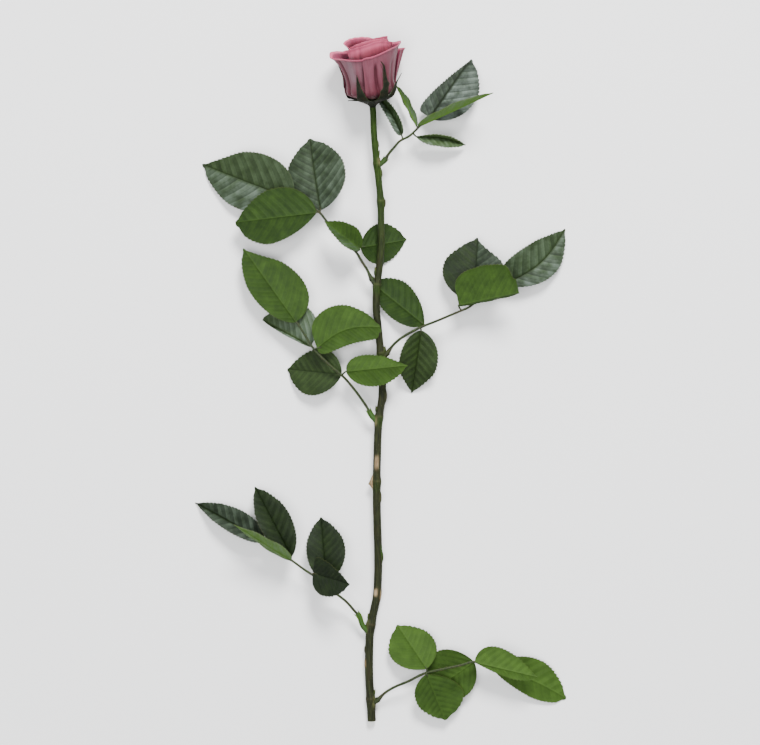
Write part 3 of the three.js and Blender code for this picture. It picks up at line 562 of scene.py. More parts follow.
EDGE_RIPPLE = 0.5
STALK_STATIONS = 70
STALK_GIRTH = 1.15
STALK_THINNING = 0.3
STALK_FOOT_SWELL = 0.9
TWIG_STATIONS = 12
TWIG_GIRTH = (0.8, 0.42)
STIPULE_START = 4.5
STIPULE_ROWS = 18
STIPULE_COLUMNS = 6
STIPULE_THICKNESS = 0.3
# Where the columns of a leaflet lie, as shares of half its width
COLUMNS = np.array([0, 0.012, 0.04, 0.09, 0.16, 0.25, 0.35, 0.46, 0.57, 0.68, 0.78, 0.86,
                    0.92, 0.96, 1])


def turned(vector, axis, angle):
    return vector * math.cos(angle) + np.cross(axis, vector) * math.sin(angle)


def smooth_step(x, low, high):
    x = np.clip((x - low) / (high - low), 0, 1)
    return x * x * (3 - 2 * x)


def outline(s, belly, fullness, point):
    """Half width of a leaflet at s, from base to tip, as a share of its widest."""
    rise = OUTLINE_POWER * fullness * belly
    fall = OUTLINE_POWER * fullness * (1 - belly)
    oval = s ** rise * (1 - s) ** fall / (belly ** rise * (1 - belly) ** fall)
    return oval * (1 - point * smooth_step(s, 0.6, 1))


def pressed(points, height):
    """What would sink under the table lies flat on it."""
    points = points.copy()
    points[..., 2] = np.maximum(points[..., 2], height)
    return points


def add_leaflet(skin, base, tip, width, shows, roll, fold, belly=0.45, skew=0, fullness=1,
                point=(0.2, 0.2), arch=0, bow=0, tone=0.0, painted_gloss=(0.0, 0.0)):
    base, tip = np.array(base, float), np.array(tip, float)
    length = np.linalg.norm(tip - base)
    along = (tip - base) / length
    facing = unit(np.array([0, 0, 1]) - along * along[2])
    facing = turned(facing, along, math.radians(roll))
    left = np.cross(facing, along)
    upper = facing * shows
    draw = np.random.default_rng(int(abs(base[0] * 31 + tip[1] * 17)))
    teeth = round(length / TOOTH_SPACING)
    s = ((np.arange(teeth)[:, None] + np.array(TOOTH_STOPS)[None, :]) / teeth).ravel()
    s = np.concatenate([[0.004], s[1:], [0.997]])[:, None]
    u = np.concatenate([COLUMNS[::-1], -COLUMNS[1:]])[None, :]
    side = np.sign(u)
    edge = abs(u)
    half = np.where(u > 0, width[0], width[1]) * outline(
        s, belly + skew * side, fullness, np.where(u > 0, point[0], point[1]))
    half = half * (1 - 0.4 * np.exp(-((s - 0.965) / 0.035) ** 2))
    saw = (s * teeth) % 1
    saw[0], saw[-1] = 0, 0
    tooth = (TOOTH_DEPTH * saw * np.minimum(1, 7 * s) * np.minimum(1, 6 * (1 - s))
             * smooth_step(edge, 0.84, 1) * np.clip(half / 6, 0, 1))
    waves = s * draw.uniform(2.2, 3.4) + draw.uniform(0, 1, (1, 1)) + 0.35 * (side > 0)
    ripple = EDGE_RIPPLE * np.sin(2 * math.pi * waves) * edge ** 2 * np.sin(math.pi * s)
    fold_angle = math.radians(fold)
    middle = np.sin(math.pi * s)
    lift = (half * edge * math.sin(fold_angle) + arch * middle
            - 0.1 * half * edge ** 2.5 + ripple)
    points = (base + along * (length * s + 0.5 * tooth)[..., None]
              + left * (half * u * math.cos(fold_angle) + bow * middle + side * tooth)[..., None]
              + upper * lift[..., None])
    over_y = half * edge
    spacing = length / VEINS_A_SIDE
    vein = (length * s - 0.62 * over_y - 0.011 * over_y ** 2) / spacing + 0.5 * (side > 0)
    from_vein = abs((vein + 0.5) % 1 - 0.5)
    cross = np.gradient(points, axis=1)
    run = np.gradient(points, axis=0)
    normal = unit(np.cross(cross, run)) * shows
    quilt = QUILTING * (smooth_step(from_vein, 0, 0.3) - 0.5) * (1 - edge ** 6) * smooth_step(
        over_y, 0.4, 3)
    rib = RIB_HEIGHT * (1 - 0.75 * s) * np.exp(-(half * u / 0.55) ** 2)
    side_rib = 0.12 * np.exp(-(from_vein * spacing / 0.4) ** 2) * (1 - edge ** 4)
    upside = pressed(points + normal * (BLADE_THICKNESS / 2 + quilt - 0.4 * rib)[..., None],
                     BLADE_THICKNESS if shows > 0 else 0)
    underside = pressed(
        points - normal * (BLADE_THICKNESS / 2 - quilt + rib + side_rib)[..., None],
        0 if shows > 0 else BLADE_THICKNESS)
    # The haze mark is a painted glossy highlight, set for each side and fading towards the tip.
    marks = dict(vein=vein, along=length * s, over=half * u, edge=edge, tone=tone,
                 painted_gloss=(np.where(half * u > 0, painted_gloss[0], painted_gloss[1]) * (1.25 - 0.7 * s)
                       * smooth_step(abs(half * u), 0, 2)),
                 serial=draw.uniform(0, 1))
    if shows > 0:
        skin.sheet(upside, underside, (0, 1), **marks)
    else:
        skin.sheet(underside, upside, (1, 0), **marks)


def add_stipules(skin, rachis, girth, length, width, tone):
    """The two narrow wings at the foot of a stalk, each with a pointed free tip."""
    reach = np.concatenate([[0], np.cumsum(np.linalg.norm(np.diff(rachis, axis=0), axis=1))])
    far = np.linspace(STIPULE_START, length, STIPULE_ROWS)
    line = np.column_stack([np.interp(far, reach, rachis[:, k]) for k in range(3)])
    along, across, up = (way[:, None] for way in directions(line))
    share = np.linspace(0, 1, STIPULE_ROWS)[:, None]
    out = np.linspace(0, 1, STIPULE_COLUMNS)[None, :]
    for side in (-1, 1):
        wide = np.interp(far, reach, girth)[:, None] * 0.8 + width * out * share ** 0.6
        top = (line[:, None] + across * (side * wide)[..., None]
               + along * (2 * width * out ** 3 * share ** 5)[..., None]
               + up * (0.3 + 0.5 * out ** 2)[..., None])
        low = top - up * STIPULE_THICKNESS
        marks = dict(vein=2 * out, along=far[:, None], over=3 + out, edge=0.5 * out,
                     tone=tone, painted_gloss=0, serial=0.5)
        if side > 0:
            skin.sheet(top, low, (1, 1), **marks)
        else:
            skin.sheet(low, top, (1, 1), **marks)


def leaf_finish(name, shade, light, vein_colour, vein_share, painted_light_bands, sink, roughness, gloss):
    """The skin of a leaf's face. sink is below 0 where the veins stand out of it."""
    material, it = finish(name)
    vein = it.mark("vein")
    edge = it.mark("edge")
    over = it.mark("over")
    side_vein = 1 - abs((vein + 0.5).fraction() - 0.5).between(0.012, 0.075 - 0.03 * edge)
    rib = 1 - abs(over).between(0.25, 0.75)
    on_blade = it.node("ShaderNodeCombineXYZ", {}, {
        "X": it.mark("along"), "Y": over, "Z": it.mark("serial") * 90})
    net = 1 - it.node("ShaderNodeTexVoronoi", {"feature": "DISTANCE_TO_EDGE"}, {
        "Vector": on_blade, "Scale": 0.55, "Randomness": 0.9}).between(0.0, 0.12)
    fine_net = 1 - it.node("ShaderNodeTexVoronoi", {"feature": "DISTANCE_TO_EDGE"}, {
        "Vector": on_blade, "Scale": 1.6}).between(0.0, 0.16)
    cloud = it.noise(on_blade, 0.11, 3.0)
    speck = it.noise(on_blade, 1.3, 2.0)
    band = (vein + 0.5).fraction()
    # Painted light and shade: each band between two side veins is lit on one side, more strongly
    # where haze is.
    tone = (it.mark("tone") * 0.3 + 0.35 + (cloud - 0.5) * 0.4 + (speck - 0.5) * 0.14
            + (band - 0.5) * painted_light_bands * (it.mark("painted_gloss") + 0.3) * (1 - edge ** 4))
    # The tone mark is partly the leaflet's own green and partly painted light and shade, for how
    # each leaflet lies to the lamps.
    colour = it.blend(tone.between(0, 1), shade, light)
    # shine is the painted glossy highlight: grey-green reflected light, streaked between the veins
    # where haze is.
    shine = it.mark("painted_gloss") * (0.35 + 0.65 * band) * (0.25 + 1.3 * cloud.between(0.3, 0.7))
    colour = it.blend(shine, colour, dye(96, 108, 100))
    lines = (side_vein * 0.8).most(rib).most(net * 0.35).most(fine_net * 0.15)
    colour = it.blend(lines * vein_share, colour, vein_colour)
    brown_tips = edge.between(0.97, 1.0) * 0.3
    colour = it.blend(brown_tips, colour, dye(80, 80, 46))
    relief = 0.5 - sink * (side_vein * 0.6).most(rib * 0.8).most(net * 0.42).most(fine_net * 0.2)
    it.surface(
        Base_Color=colour, Roughness=roughness + 0.16 * (speck - 0.5) + 0.1 * net,
        Specular_IOR_Level=gloss,
        Normal=it.bump(relief + 0.12 * speck, 0.34, 0.8))
    return material


leaf_upper_face = leaf_finish(
    "leaf upper face", dye(9, 20, 4), dye(60, 82, 36), dye(10, 18, 6), 0.42, 0.4, 0.8, 0.48, 0.14)
leaf_under_face = leaf_finish(
    "leaf under face", dye(15, 32, 6), dye(68, 98, 32), dye(64, 88, 34), 0.16, -0.25, -0.6, 0.62,
    0.12)

stalk_skin, it = finish("leaf stalk")
streak = it.noise(it.stretched(0.6, 0.6, 0.6), 1.1, 4.0)
colour = it.blend(streak.between(0.35, 0.7), dye(24, 33, 11), dye(46, 59, 24))
brown = it.noise(it.stretched(1, 1, 1), 0.07, 2.0).between(0.5, 0.7)
colour = it.blend(brown * 0.45, colour, dye(52, 42, 28))
colour = it.blend(it.mark("fresh"), colour, dye(44, 76, 20))
it.surface(
    Base_Color=colour, Roughness=0.5 + 0.2 * streak, Specular_IOR_Level=0.25,
    Normal=it.bump(streak, 0.1))

bristle_skin, it = finish("stalk bristle")
it.surface(
    Base_Color=it.blend(it.noise(it.stretched(1, 1, 1), 0.5), dye(96, 86, 46), dye(140, 92, 64)),
    Roughness=0.5)


def stalk_shape():
    """Grooved stalks along lines, with bristles: named inputs for every size."""
    tree = bpy.data.node_groups.new("Stalks with bristles", "GeometryNodeTree")
    ports = tree.interface
    for name, kind in (
            ("Lines", "Geometry"), ("Sides", "Int"), ("Groove", "Float"),
            ("Bristles per square millimetre", "Float"), ("Bristle length", "Float"),
            ("Bristle radius", "Float"), ("Seed", "Int"), ("Stalk", "Material"),
            ("Bristle", "Material")):
        ports.new_socket(name, in_out="INPUT", socket_type="NodeSocket" + kind)
    ports.new_socket("Stalks", in_out="OUTPUT", socket_type="NodeSocketGeometry")
    it = Recipe(tree)
    given = it.node("NodeGroupInput")
    girth = it.node("GeometryNodeInputNamedAttribute", {"data_type": "FLOAT"}, {"Name": "girth"})
    circle = it.node("GeometryNodeCurvePrimitiveCircle", {}, {
        "Resolution": given.out("Sides"), "Radius": 1.0})
    place = it.node("GeometryNodeInputPosition")
    across = it.node("ShaderNodeSeparateXYZ", {}, {0: place})
    dent = (given.out("Groove") * (1 - abs(across.out("X")).between(0.0, 0.6))
            * across.out("Y").maths("SIGN", across.out("Y")).most(0.0))
    round_it = it.node("GeometryNodeSetPosition", {}, {
        "Geometry": circle,
        "Offset": it.node("ShaderNodeCombineXYZ", {}, {"Y": 0.0 - dent})})
    curve = it.node("GeometryNodeMeshToCurve", {}, {"Mesh": given.out("Lines")})
    curve = it.node("GeometryNodeSetCurveNormal", {"mode": "Z_UP"}, {"Curve": curve})
    stalk = it.node("GeometryNodeCurveToMesh", {}, {
        "Curve": curve, "Profile Curve": round_it, "Scale": girth, "Fill Caps": True})
    stalk = it.node("GeometryNodeSetMaterial", {}, {
        "Geometry": stalk, "Material": given.out("Stalk")})
    roots = it.node("GeometryNodeDistributePointsOnFaces", {}, {
        "Mesh": stalk, "Density": given.out("Bristles per square millimetre") * 1e6,
        "Seed": given.out("Seed")})
    lean = it.node("FunctionNodeAlignRotationToVector", {"axis": "Z"}, {
        "Vector": roots.out("Normal")})
    bristle = it.node("GeometryNodeMeshCone", {}, {
        "Vertices": 4, "Radius Bottom": given.out("Bristle radius"),
        "Radius Top": 0.0, "Depth": given.out("Bristle length")})
    size = it.node("FunctionNodeRandomValue", {"data_type": "FLOAT"}, {
        "Min": 0.4, "Max": 1.0, "Seed": given.out("Seed")})
    bristles = it.node("GeometryNodeInstanceOnPoints", {}, {
        "Points": roots, "Instance": bristle, "Rotation": lean, "Scale": size})
    bristles = it.node("GeometryNodeRealizeInstances", {}, {"Geometry": bristles})
    bristles = it.node("GeometryNodeSetMaterial", {}, {
        "Geometry": bristles, "Material": given.out("Bristle")})
    both = it.node("GeometryNodeJoinGeometry", {}, {"Geometry": [bristles, stalk]})
    smooth = it.node("GeometryNodeSetShadeSmooth", {}, {"Geometry": both})
    it.node("NodeGroupOutput", {}, {"Stalks": smooth})
    return tree


def grown(piece, tree, **inputs):
    """The piece as plain mesh, after the tree has shaped it."""
    growth = piece.modifiers.new("growth", "NODES")
    growth.node_group = tree
    ports = {port.name: port.identifier for port in tree.interface.items_tree}
    for name, value in inputs.items():
        growth[ports[name.replace("_", " ")]] = value
    graph = bpy.context.evaluated_depsgraph_get()
    mesh = bpy.data.meshes.new_from_object(
        piece.evaluated_get(graph), preserve_all_data_layers=True, depsgraph=graph)
    piece.modifiers.clear()
    piece.data = mesh
    return piece


stalk_tree = stalk_shape()

for name, leaf in LEAVES.items():
    blades = Skin("vein", "along", "over", "edge", "tone", "painted_gloss", "serial")
    for leaflet in leaf["leaflets"]:
        add_leaflet(blades, **leaflet)
    ring = int(np.argmin(abs(stem_line[:, 1] - leaf["foot"])))
    rachis = smooth_line([tuple(stem_line[ring])] + leaf["stalk"], STALK_STATIONS)
    length = np.linalg.norm(np.diff(rachis, axis=0), axis=1).sum()
    far = np.linspace(0, 1, STALK_STATIONS)
    girth = (STALK_GIRTH - STALK_THINNING * far
             + STALK_FOOT_SWELL * (1 - smooth_step(far * length, 6, 15)))
    add_stipules(blades, rachis, girth, *leaf["stipule"])
    hold(blades.piece(name + "_leaflets", leaf_upper_face, leaf_under_face), name)
    wing_end, _, freshness = leaf["stipule"]
    fresh = max(0, freshness) * 0.6 * (1 - smooth_step(far * length, wing_end - 2, wing_end + 1))
    lines, girths = [rachis], [girth]
    edges = [(k, k + 1) for k in range(STALK_STATIONS - 1)]
    for leaflet in leaf["leaflets"]:
        base, tip = np.array(leaflet["base"], float), np.array(leaflet["tip"], float)
        start = rachis[np.argmin(np.linalg.norm(rachis - base, axis=1))]
        reach = base + unit(tip - base) * 4
        twig = smooth_line([start, base, reach], TWIG_STATIONS)
        first = sum(len(line) for line in lines)
        lines.append(twig)
        girths.append(np.linspace(*TWIG_GIRTH, TWIG_STATIONS))
        edges += [(first + k, first + k + 1) for k in range(TWIG_STATIONS - 1)]
    mesh = bpy.data.meshes.new(name + "_stalk")
    mesh.from_pydata((np.vstack(lines) * 0.001).tolist(), edges, [])
    mesh.attributes.new("girth", "FLOAT", "POINT").data.foreach_set(
        "value", np.concatenate(girths) * 0.001)
    mesh.attributes.new("fresh", "FLOAT", "POINT").data.foreach_set(
        "value", np.concatenate([fresh, np.zeros(len(mesh.vertices) - STALK_STATIONS)]))
    stalk = bpy.data.objects.new(name + "_stalk", mesh)
    bpy.context.scene.collection.objects.link(stalk)
    grown(stalk, stalk_tree, Sides=16, Groove=0.45, Bristles_per_square_millimetre=0.5,
          Bristle_length=0.0008, Bristle_radius=0.00007, Seed=leaf["foot"] + 300,
          Stalk=stalk_skin, Bristle=bristle_skin)
    hold(stalk, name)


# Calyx
# The stem swells into a green cup under the petals, and five narrow sepals
# grow from its rim: four stand against the petals and one is bent down flat.

bloom_front = unit(np.array([0, 0, 1]) - bloom_axis * bloom_axis[2])
bloom_right = np.cross(bloom_axis, bloom_front)


def round_bloom(turn, radius, height):
    """Points at a turn round the bloom's axis in degrees: 0 is its front, 90 its right."""
    turn = np.radians(turn)
    return (BLOOM_BASE + bloom_right * (radius * np.sin(turn))[..., None]
            + bloom_axis * (height + 0 * turn)[..., None]
            + bloom_front * (radius * np.cos(turn))[..., None])


CUP_PROFILE = [(2.35, -7.9), (2.5, -7), (3.1, -5.9), (4.4, -4.8), (6.2, -3.7), (8.4, -2.6),
               (10.6, -1.7), (12.6, -0.8), (14, 0.1), (13.8, 0.5), (10, 0.2), (2, 0.3)]
# A sepal's line is turn, radius and height from the cup to its tip, and strap
# the width it keeps towards the tip.
SEPALS = [
    dict(width=7.8, narrowing=1.3, strap=0.4, lobes=0, line=[
        (-20, 9, -1.6), (-21, 14, -0.5), (-22, 20, 1.2), (-23, 23, 6.5), (-26, 23, 13),
        (-27, 23.8, 22.5)]),
    dict(width=5.6, narrowing=1.8, strap=1.1, lobes=1.2, line=[
        (26, 9, -1.6), (26, 14, -0.5), (26, 19.6, 1.6), (28, 22.6, 7), (31, 23.2, 12),
        (30, 23.3, 18), (29, 23.9, 23.5), (27, 24.5, 28.5), (21, 25.2, 32.5)]),
    dict(width=5, narrowing=1.1, strap=1.8, lobes=0, line=[
        (52, 9, -1.6), (52, 14, -0.5), (54, 18.6, 1.6), (62, 20.8, 6), (73, 21.6, 12),
        (84, 25.2, 18.8)]),
    dict(width=5, narrowing=1, strap=1, lobes=1.2, line=[
        (-118, 9, -1.6), (-118, 14, -0.5), (-116, 20.4, 1.6), (-113, 22.6, 10),
        (-109, 23, 19), (-105, 25.6, 27.5)]),
    dict(width=3.4, narrowing=0.8, strap=0.2, lobes=0, line=[
        (-97, 9, -1.4), (-97, 12, -1.2), (-97, 14.5, -1), (-97, 16.5, -0.8), (-97, 18, -0.8),
        (-97, 19.5, -1)]),
]
SEPAL_THICKNESS = 0.6
SEPAL_ROWS = 48
SEPAL_COLUMNS = 15
CUP_RINGS = 40
CUP_SIDES = 48
# Degrees are counted as this share while a sepal's line is smoothed, near to millimetres
DEGREES_A_STEP = 3

calyx_skin = Skin("along", "over")
profile = smooth_line([(r, h, 0) for r, h in CUP_PROFILE], CUP_RINGS)
turn = np.linspace(0, 360, CUP_SIDES, endpoint=False)[None, :]
ridge = 1 + 0.02 * np.cos(np.radians(5 * turn)) * smooth_step(profile[:, :1], 4, 10)
calyx_skin.tube(
    round_bloom(-turn, profile[:, :1] * ridge, profile[:, 1:2])[:, ::-1],
    along=0.1, over=np.sin(np.radians(turn) * 9))

for sepal in SEPALS:
    line = smooth_line(
        [(t / DEGREES_A_STEP, r, h) for t, r, h in sepal["line"]], SEPAL_ROWS)
    s = np.linspace(0, 1, SEPAL_ROWS)[:, None]
    u = np.linspace(-1, 1, SEPAL_COLUMNS)[None, :]
    half = sepal["width"] * (1 - s) ** sepal["narrowing"] + sepal["strap"] * (1 - s) ** 0.3 + 0.1
    for place, sense in ((0.28, 1), (0.42, -1), (0.55, 1)):
        half = half + sepal["lobes"] * np.exp(-((s - place) / 0.035) ** 2) * (u * sense > 0.5)
    middle, radius, height = line[:, :1] * DEGREES_A_STEP, line[:, 1:2], line[:, 2:3]
    keel = 0.5 * (1 - abs(u)) * (1 - s) - 0.5 * u ** 2 * (1 - s)
    away = np.degrees(u * half / radius)
    points = round_bloom(middle + away, radius + keel, height)
    normal = unit(np.cross(np.gradient(points, axis=1), np.gradient(points, axis=0)))
    thick = SEPAL_THICKNESS * (0.5 + 0.5 * (1 - abs(u) ** 3)) / 2
    calyx_skin.sheet(
        pressed(points + normal * thick[..., None], 0),
        pressed(points - normal * thick[..., None], 0.3),
        along=s, over=u)

sepal_finish, it = finish("sepal green")
along, over = it.mark("along"), it.mark("over")
grooves = it.noise(it.node("ShaderNodeCombineXYZ", {}, {"X": over * 9, "Y": along * 2}), 1.0, 4.0)
cloud = it.noise(it.stretched(1, 1, 1), 0.25, 3.0)
colour = it.blend(grooves.between(0.35, 0.7), dye(7, 11, 4), dye(20, 28, 10))
colour = it.blend(cloud.between(0.45, 0.7) * 0.5, colour, dye(44, 34, 22))
pale_edge = abs(over).between(0.8, 1) * along.between(0.05, 0.3)
colour = it.blend(pale_edge * 0.4, colour, dye(60, 70, 40))
it.surface(
    Base_Color=colour, Roughness=0.6 + 0.2 * cloud, Specular_IOR_Level=0.14,
    Normal=it.bump(grooves, 0.25))
hold(calyx_skin.piece("calyx_cup_and_sepals", sepal_finish), "calyx")


# Opening petals
# The nine petals whose rims show. Each is a soft curved blade that grows from
# the cup, flares and rolls outwards at its rim, and creases where it is crowded.

# rim is a petal's upper edge, as turns, radii and heights from one side to the
# other, body its radius lower down on each side, and swell how late it flares.
# A crease is a turn, its lean, its width in degrees, its depth, and where it
# starts and ends from foot to rim; a crease's depth also paints shade into it.
# blush is how red the skin is, shade where the painted shade low on the petal
# starts and stops fading, and glow where the pale rim begins on each side: partly
# the petal's own paler edge, partly painted light. mist, where a petal has any,
# is how strong a painted grey reflection is on it and at which turn.
OPENING_PETALS = [
    dict(body=(20, 18), swell=2.7, roll=1.0, blush=0.1, shade=(-0.2, 0.3), glow=(0.9, 0.92),
         mist=(0.46, -42),
         rim=[(-140, 23, 36.6), (-120, 25.6, 38.4), (-108, 27.2, 39.4), (-95, 29.6, 39.2),
              (-86, 30.4, 36), (-74, 27.6, 35.6), (-56, 25.2, 35.8), (-38, 24, 35.2),
              (-24, 23, 35), (-8, 22, 34.8)],
         creases=[(-66, -9, 5, 1.5, 0.0, 1.1), (-17, 3, 4, 1.4, 0.3, 0.9),
                  (-30, 0, 9, -0.8, 0.4, 0.9), (-86, 0, 6, 0.8, 0.2, 0.95)]),
    dict(body=(21.2, 16.4), swell=2, roll=0.9, blush=0.1, shade=(-0.1, 0.5), glow=(0.93, 0.9),
         mist=(0.15, 60),
         rim=[(-13, 24, 35.4), (-9, 24.2, 36.3), (3, 24.2, 37), (17, 24.4, 38.5), (34, 24.6, 40.6),
              (48, 24.8, 42), (64, 25.1, 43), (81, 25.6, 43.8), (96, 25.8, 44.4), (112, 23, 43.4),
              (133, 20.7, 41.6)],
         creases=[(13, -7, 4.5, 2.4, 0.0, 0.86), (24, -5, 4.5, -1.0, 0.02, 0.8),
                  (34, -4, 3, 1.4, 0.1, 0.8), (0, 3, 5, -0.6, 0.05, 0.8),
                  (-7, 2, 2.5, 0.6, 0.1, 0.7), (58, -6, 7, 1.1, 0.1, 0.85),
                  (76, 4, 5, 0.7, 0.3, 0.9)]),
    dict(body=(18.4, 20), swell=1.4, roll=0.4, blush=0.2, shade=(-0.2, 0.4), glow=(0.93, 0.95),
         rim=[(90, 25.4, 38.4), (95, 27, 38.6), (100.5, 30.2, 38.2), (108, 29.6, 37.6),
              (135, 26.5, 36.5), (165, 25.5, 36)],
         creases=[(103, 3, 4, 0.9, 0.3, 1.1)]),
    dict(body=(20.4, 21), swell=2.1, roll=0.6, blush=0, shade=(-0.2, 0.3), glow=(0.96, 0.96),
         rim=[(120, 25.5, 35), (145, 27, 38.5), (176, 27.8, 40), (205, 27, 38.5),
              (232, 25.5, 34)],
         creases=[(160, 6, 8, 0.8, 0.2, 0.9), (195, -6, 7, 0.8, 0.1, 0.9)]),
    dict(body=(20.6, 20.6), swell=2.1, roll=0.8, blush=0, shade=(-0.2, 0.3), glow=(0.96, 0.96),
         rim=[(-185, 25, 33), (-165, 26, 36), (-140, 27.6, 37.5), (-115, 27, 36),
              (-100, 25.5, 33)],
         creases=[(-130, 5, 8, 0.8, 0.1, 0.9)]),
    dict(body=(16.4, 17.2), swell=2.1, roll=0.8, blush=0.8, shade=(0.64, 0.95), glow=(0.64, 0.91),
         mist=(0.5, -50),
         rim=[(-86, 13, 30), (-70, 16.6, 38), (-56, 19, 41.6), (-28, 19, 44.4), (-6, 18.8, 46.2),
              (14, 18.7, 48), (33, 18.7, 48.4), (52, 19, 47.2), (75, 19.2, 45), (95, 18.5, 41)],
         creases=[(-24, 0, 6, 1, 0.7, 1.1), (8, 6, 5, 0.6, 0.5, 0.96), (44, 0, 8, 0.7, 0.6, 1.1)]),
    dict(body=(14.2, 15.4), swell=2.1, roll=0.5, blush=0.4, shade=(0.74, 0.95), glow=(0.86, 0.92),
         rim=[(-90, 13, 37), (-62, 15.6, 43), (-30, 16.8, 46.8), (-4, 16.9, 48.9), (25, 17, 49.6),
              (60, 17, 48.6), (85, 16.4, 45), (105, 15, 41)],
         creases=[(10, 0, 7, 0.4, 0.6, 1.1)]),
    dict(body=(13.4, 13.4), swell=8, roll=0.2, blush=0.3, shade=(0.84, 0.995), glow=(0.95, 0.95),
         rim=[(-204, 16.4, 45.6), (-180, 16.2, 47.8), (-150, 16.4, 48.6), (-118, 17, 48.4),
              (-104, 17.8, 47.6), (-92, 19.6, 46.2), (-84, 18, 44.8), (-70, 16, 43),
              (-52, 14.6, 40.6)],
         creases=[(-128, 0, 8, 0.8, 0.5, 1.1)]),
    dict(body=(14.2, 14.2), swell=4, roll=0.2, blush=0.3, shade=(0.84, 0.995), glow=(0.95, 0.95),
         rim=[(60, 14.6, 45), (82, 15.2, 47), (100, 16.2, 48), (118, 17.4, 48.6), (135, 16.4, 47.8),
              (158, 15.6, 46.8), (180, 15.4, 46.6), (205, 15, 44)],
         creases=[(140, 0, 8, 0.7, 0.5, 1.1)]),
]
PETAL_THICKNESS = 0.45
BOWL_SHARE = 0.16
PETAL_ROWS = 72
PETAL_COLUMNS = 72
PETAL_FOOT = 0.012
# How far round a painted grey reflection spreads, in degrees.
PAINTED_REFLECTION_WIDTH = 26
# The radius at which a rim's turns are counted as millimetres while it is smoothed
RIM_RADIUS = 20

opening_skin = Skin("across", "up", "serial", "blush", "deep", "fold", "glow", "mist")
for serial, petal in enumerate(OPENING_PETALS):
    stations = smooth_line(
        [(math.radians(t) * RIM_RADIUS, r, h) for t, r, h in petal["rim"]], PETAL_COLUMNS)
    turn = np.degrees(stations[:, 0] / RIM_RADIUS)[None, :]
    rim_radius, rim_height = stations[None, :, 1], stations[None, :, 2]
    v = np.linspace(PETAL_FOOT, 1, PETAL_ROWS)[:, None]
    u = np.linspace(-1, 1, PETAL_COLUMNS)[None, :]
    bowl = np.sqrt(1 - (1 - np.minimum(v / BOWL_SHARE, 1)) ** 2)
    waist = 1 + 0.04 * np.exp(-((v - 0.2) / 0.08) ** 2)
    body = np.interp(turn, [turn.min(), turn.max()], petal["body"])
    flare = (rim_radius - body) * v ** petal["swell"]
    roll = petal["roll"] * smooth_step(v, 0.9, 1) ** 2
    ruffle = 0.3 * np.sin(0.31 * turn + 2.1 * serial) * v ** 6
    radius = body * bowl * waist + flare + roll + ruffle
    # fold gathers the creases' depth, from which shade is painted into them.
    fold = 0 * radius
    for at, lean, width, depth, low, high in petal["creases"]:
        way = turn - at - lean * (v - 0.5) - 0.8 * np.sin(9 * v + at)
        reach = smooth_step(v, low - 0.06, low + 0.08) * (
            1 - smooth_step(v, high - 0.22, high + 0.04))
        dent = depth * np.exp(-(way / (width * (1.35 - 0.75 * v))) ** 2) * reach
        radius, fold = radius - dent, fold + dent
    height = rim_height * (v - 0.012 * smooth_step(v, 0.93, 1)) + 0.3 * ruffle
    points = round_bloom(turn + 0 * v, radius, height)
    normal = unit(np.cross(np.gradient(points, axis=1), np.gradient(points, axis=0)))
    thick = PETAL_THICKNESS * (0.55 + 0.45 * (1 - v)) / 2
    # The painted grey reflection's strength and the turn where it lies.
    strength, misty_turn = petal.get("mist", (0, 0))
    opening_skin.sheet(
        pressed(points + normal * thick[..., None], 0),
        pressed(points - normal * thick[..., None], PETAL_THICKNESS),
        (0, 1), across=u, up=v, serial=serial / len(OPENING_PETALS), blush=petal["blush"],
        # deep is painted shade low on the petal; fold paints shade into its creases.
        deep=1 - smooth_step(v, *petal["shade"]), fold=np.clip(fold / 2, 0, 1),
        # glow is the pale rim: partly the petal's own paler edge, partly painted light.
        glow=smooth_step(v, np.interp(u, (-1, 1), petal["glow"]), 1),
        mist=(strength * np.exp(-((turn - misty_turn) / PAINTED_REFLECTION_WIDTH) ** 2)
              * smooth_step(v, 0.2, 0.6) * (1 - smooth_step(v, 0.88, 1))))


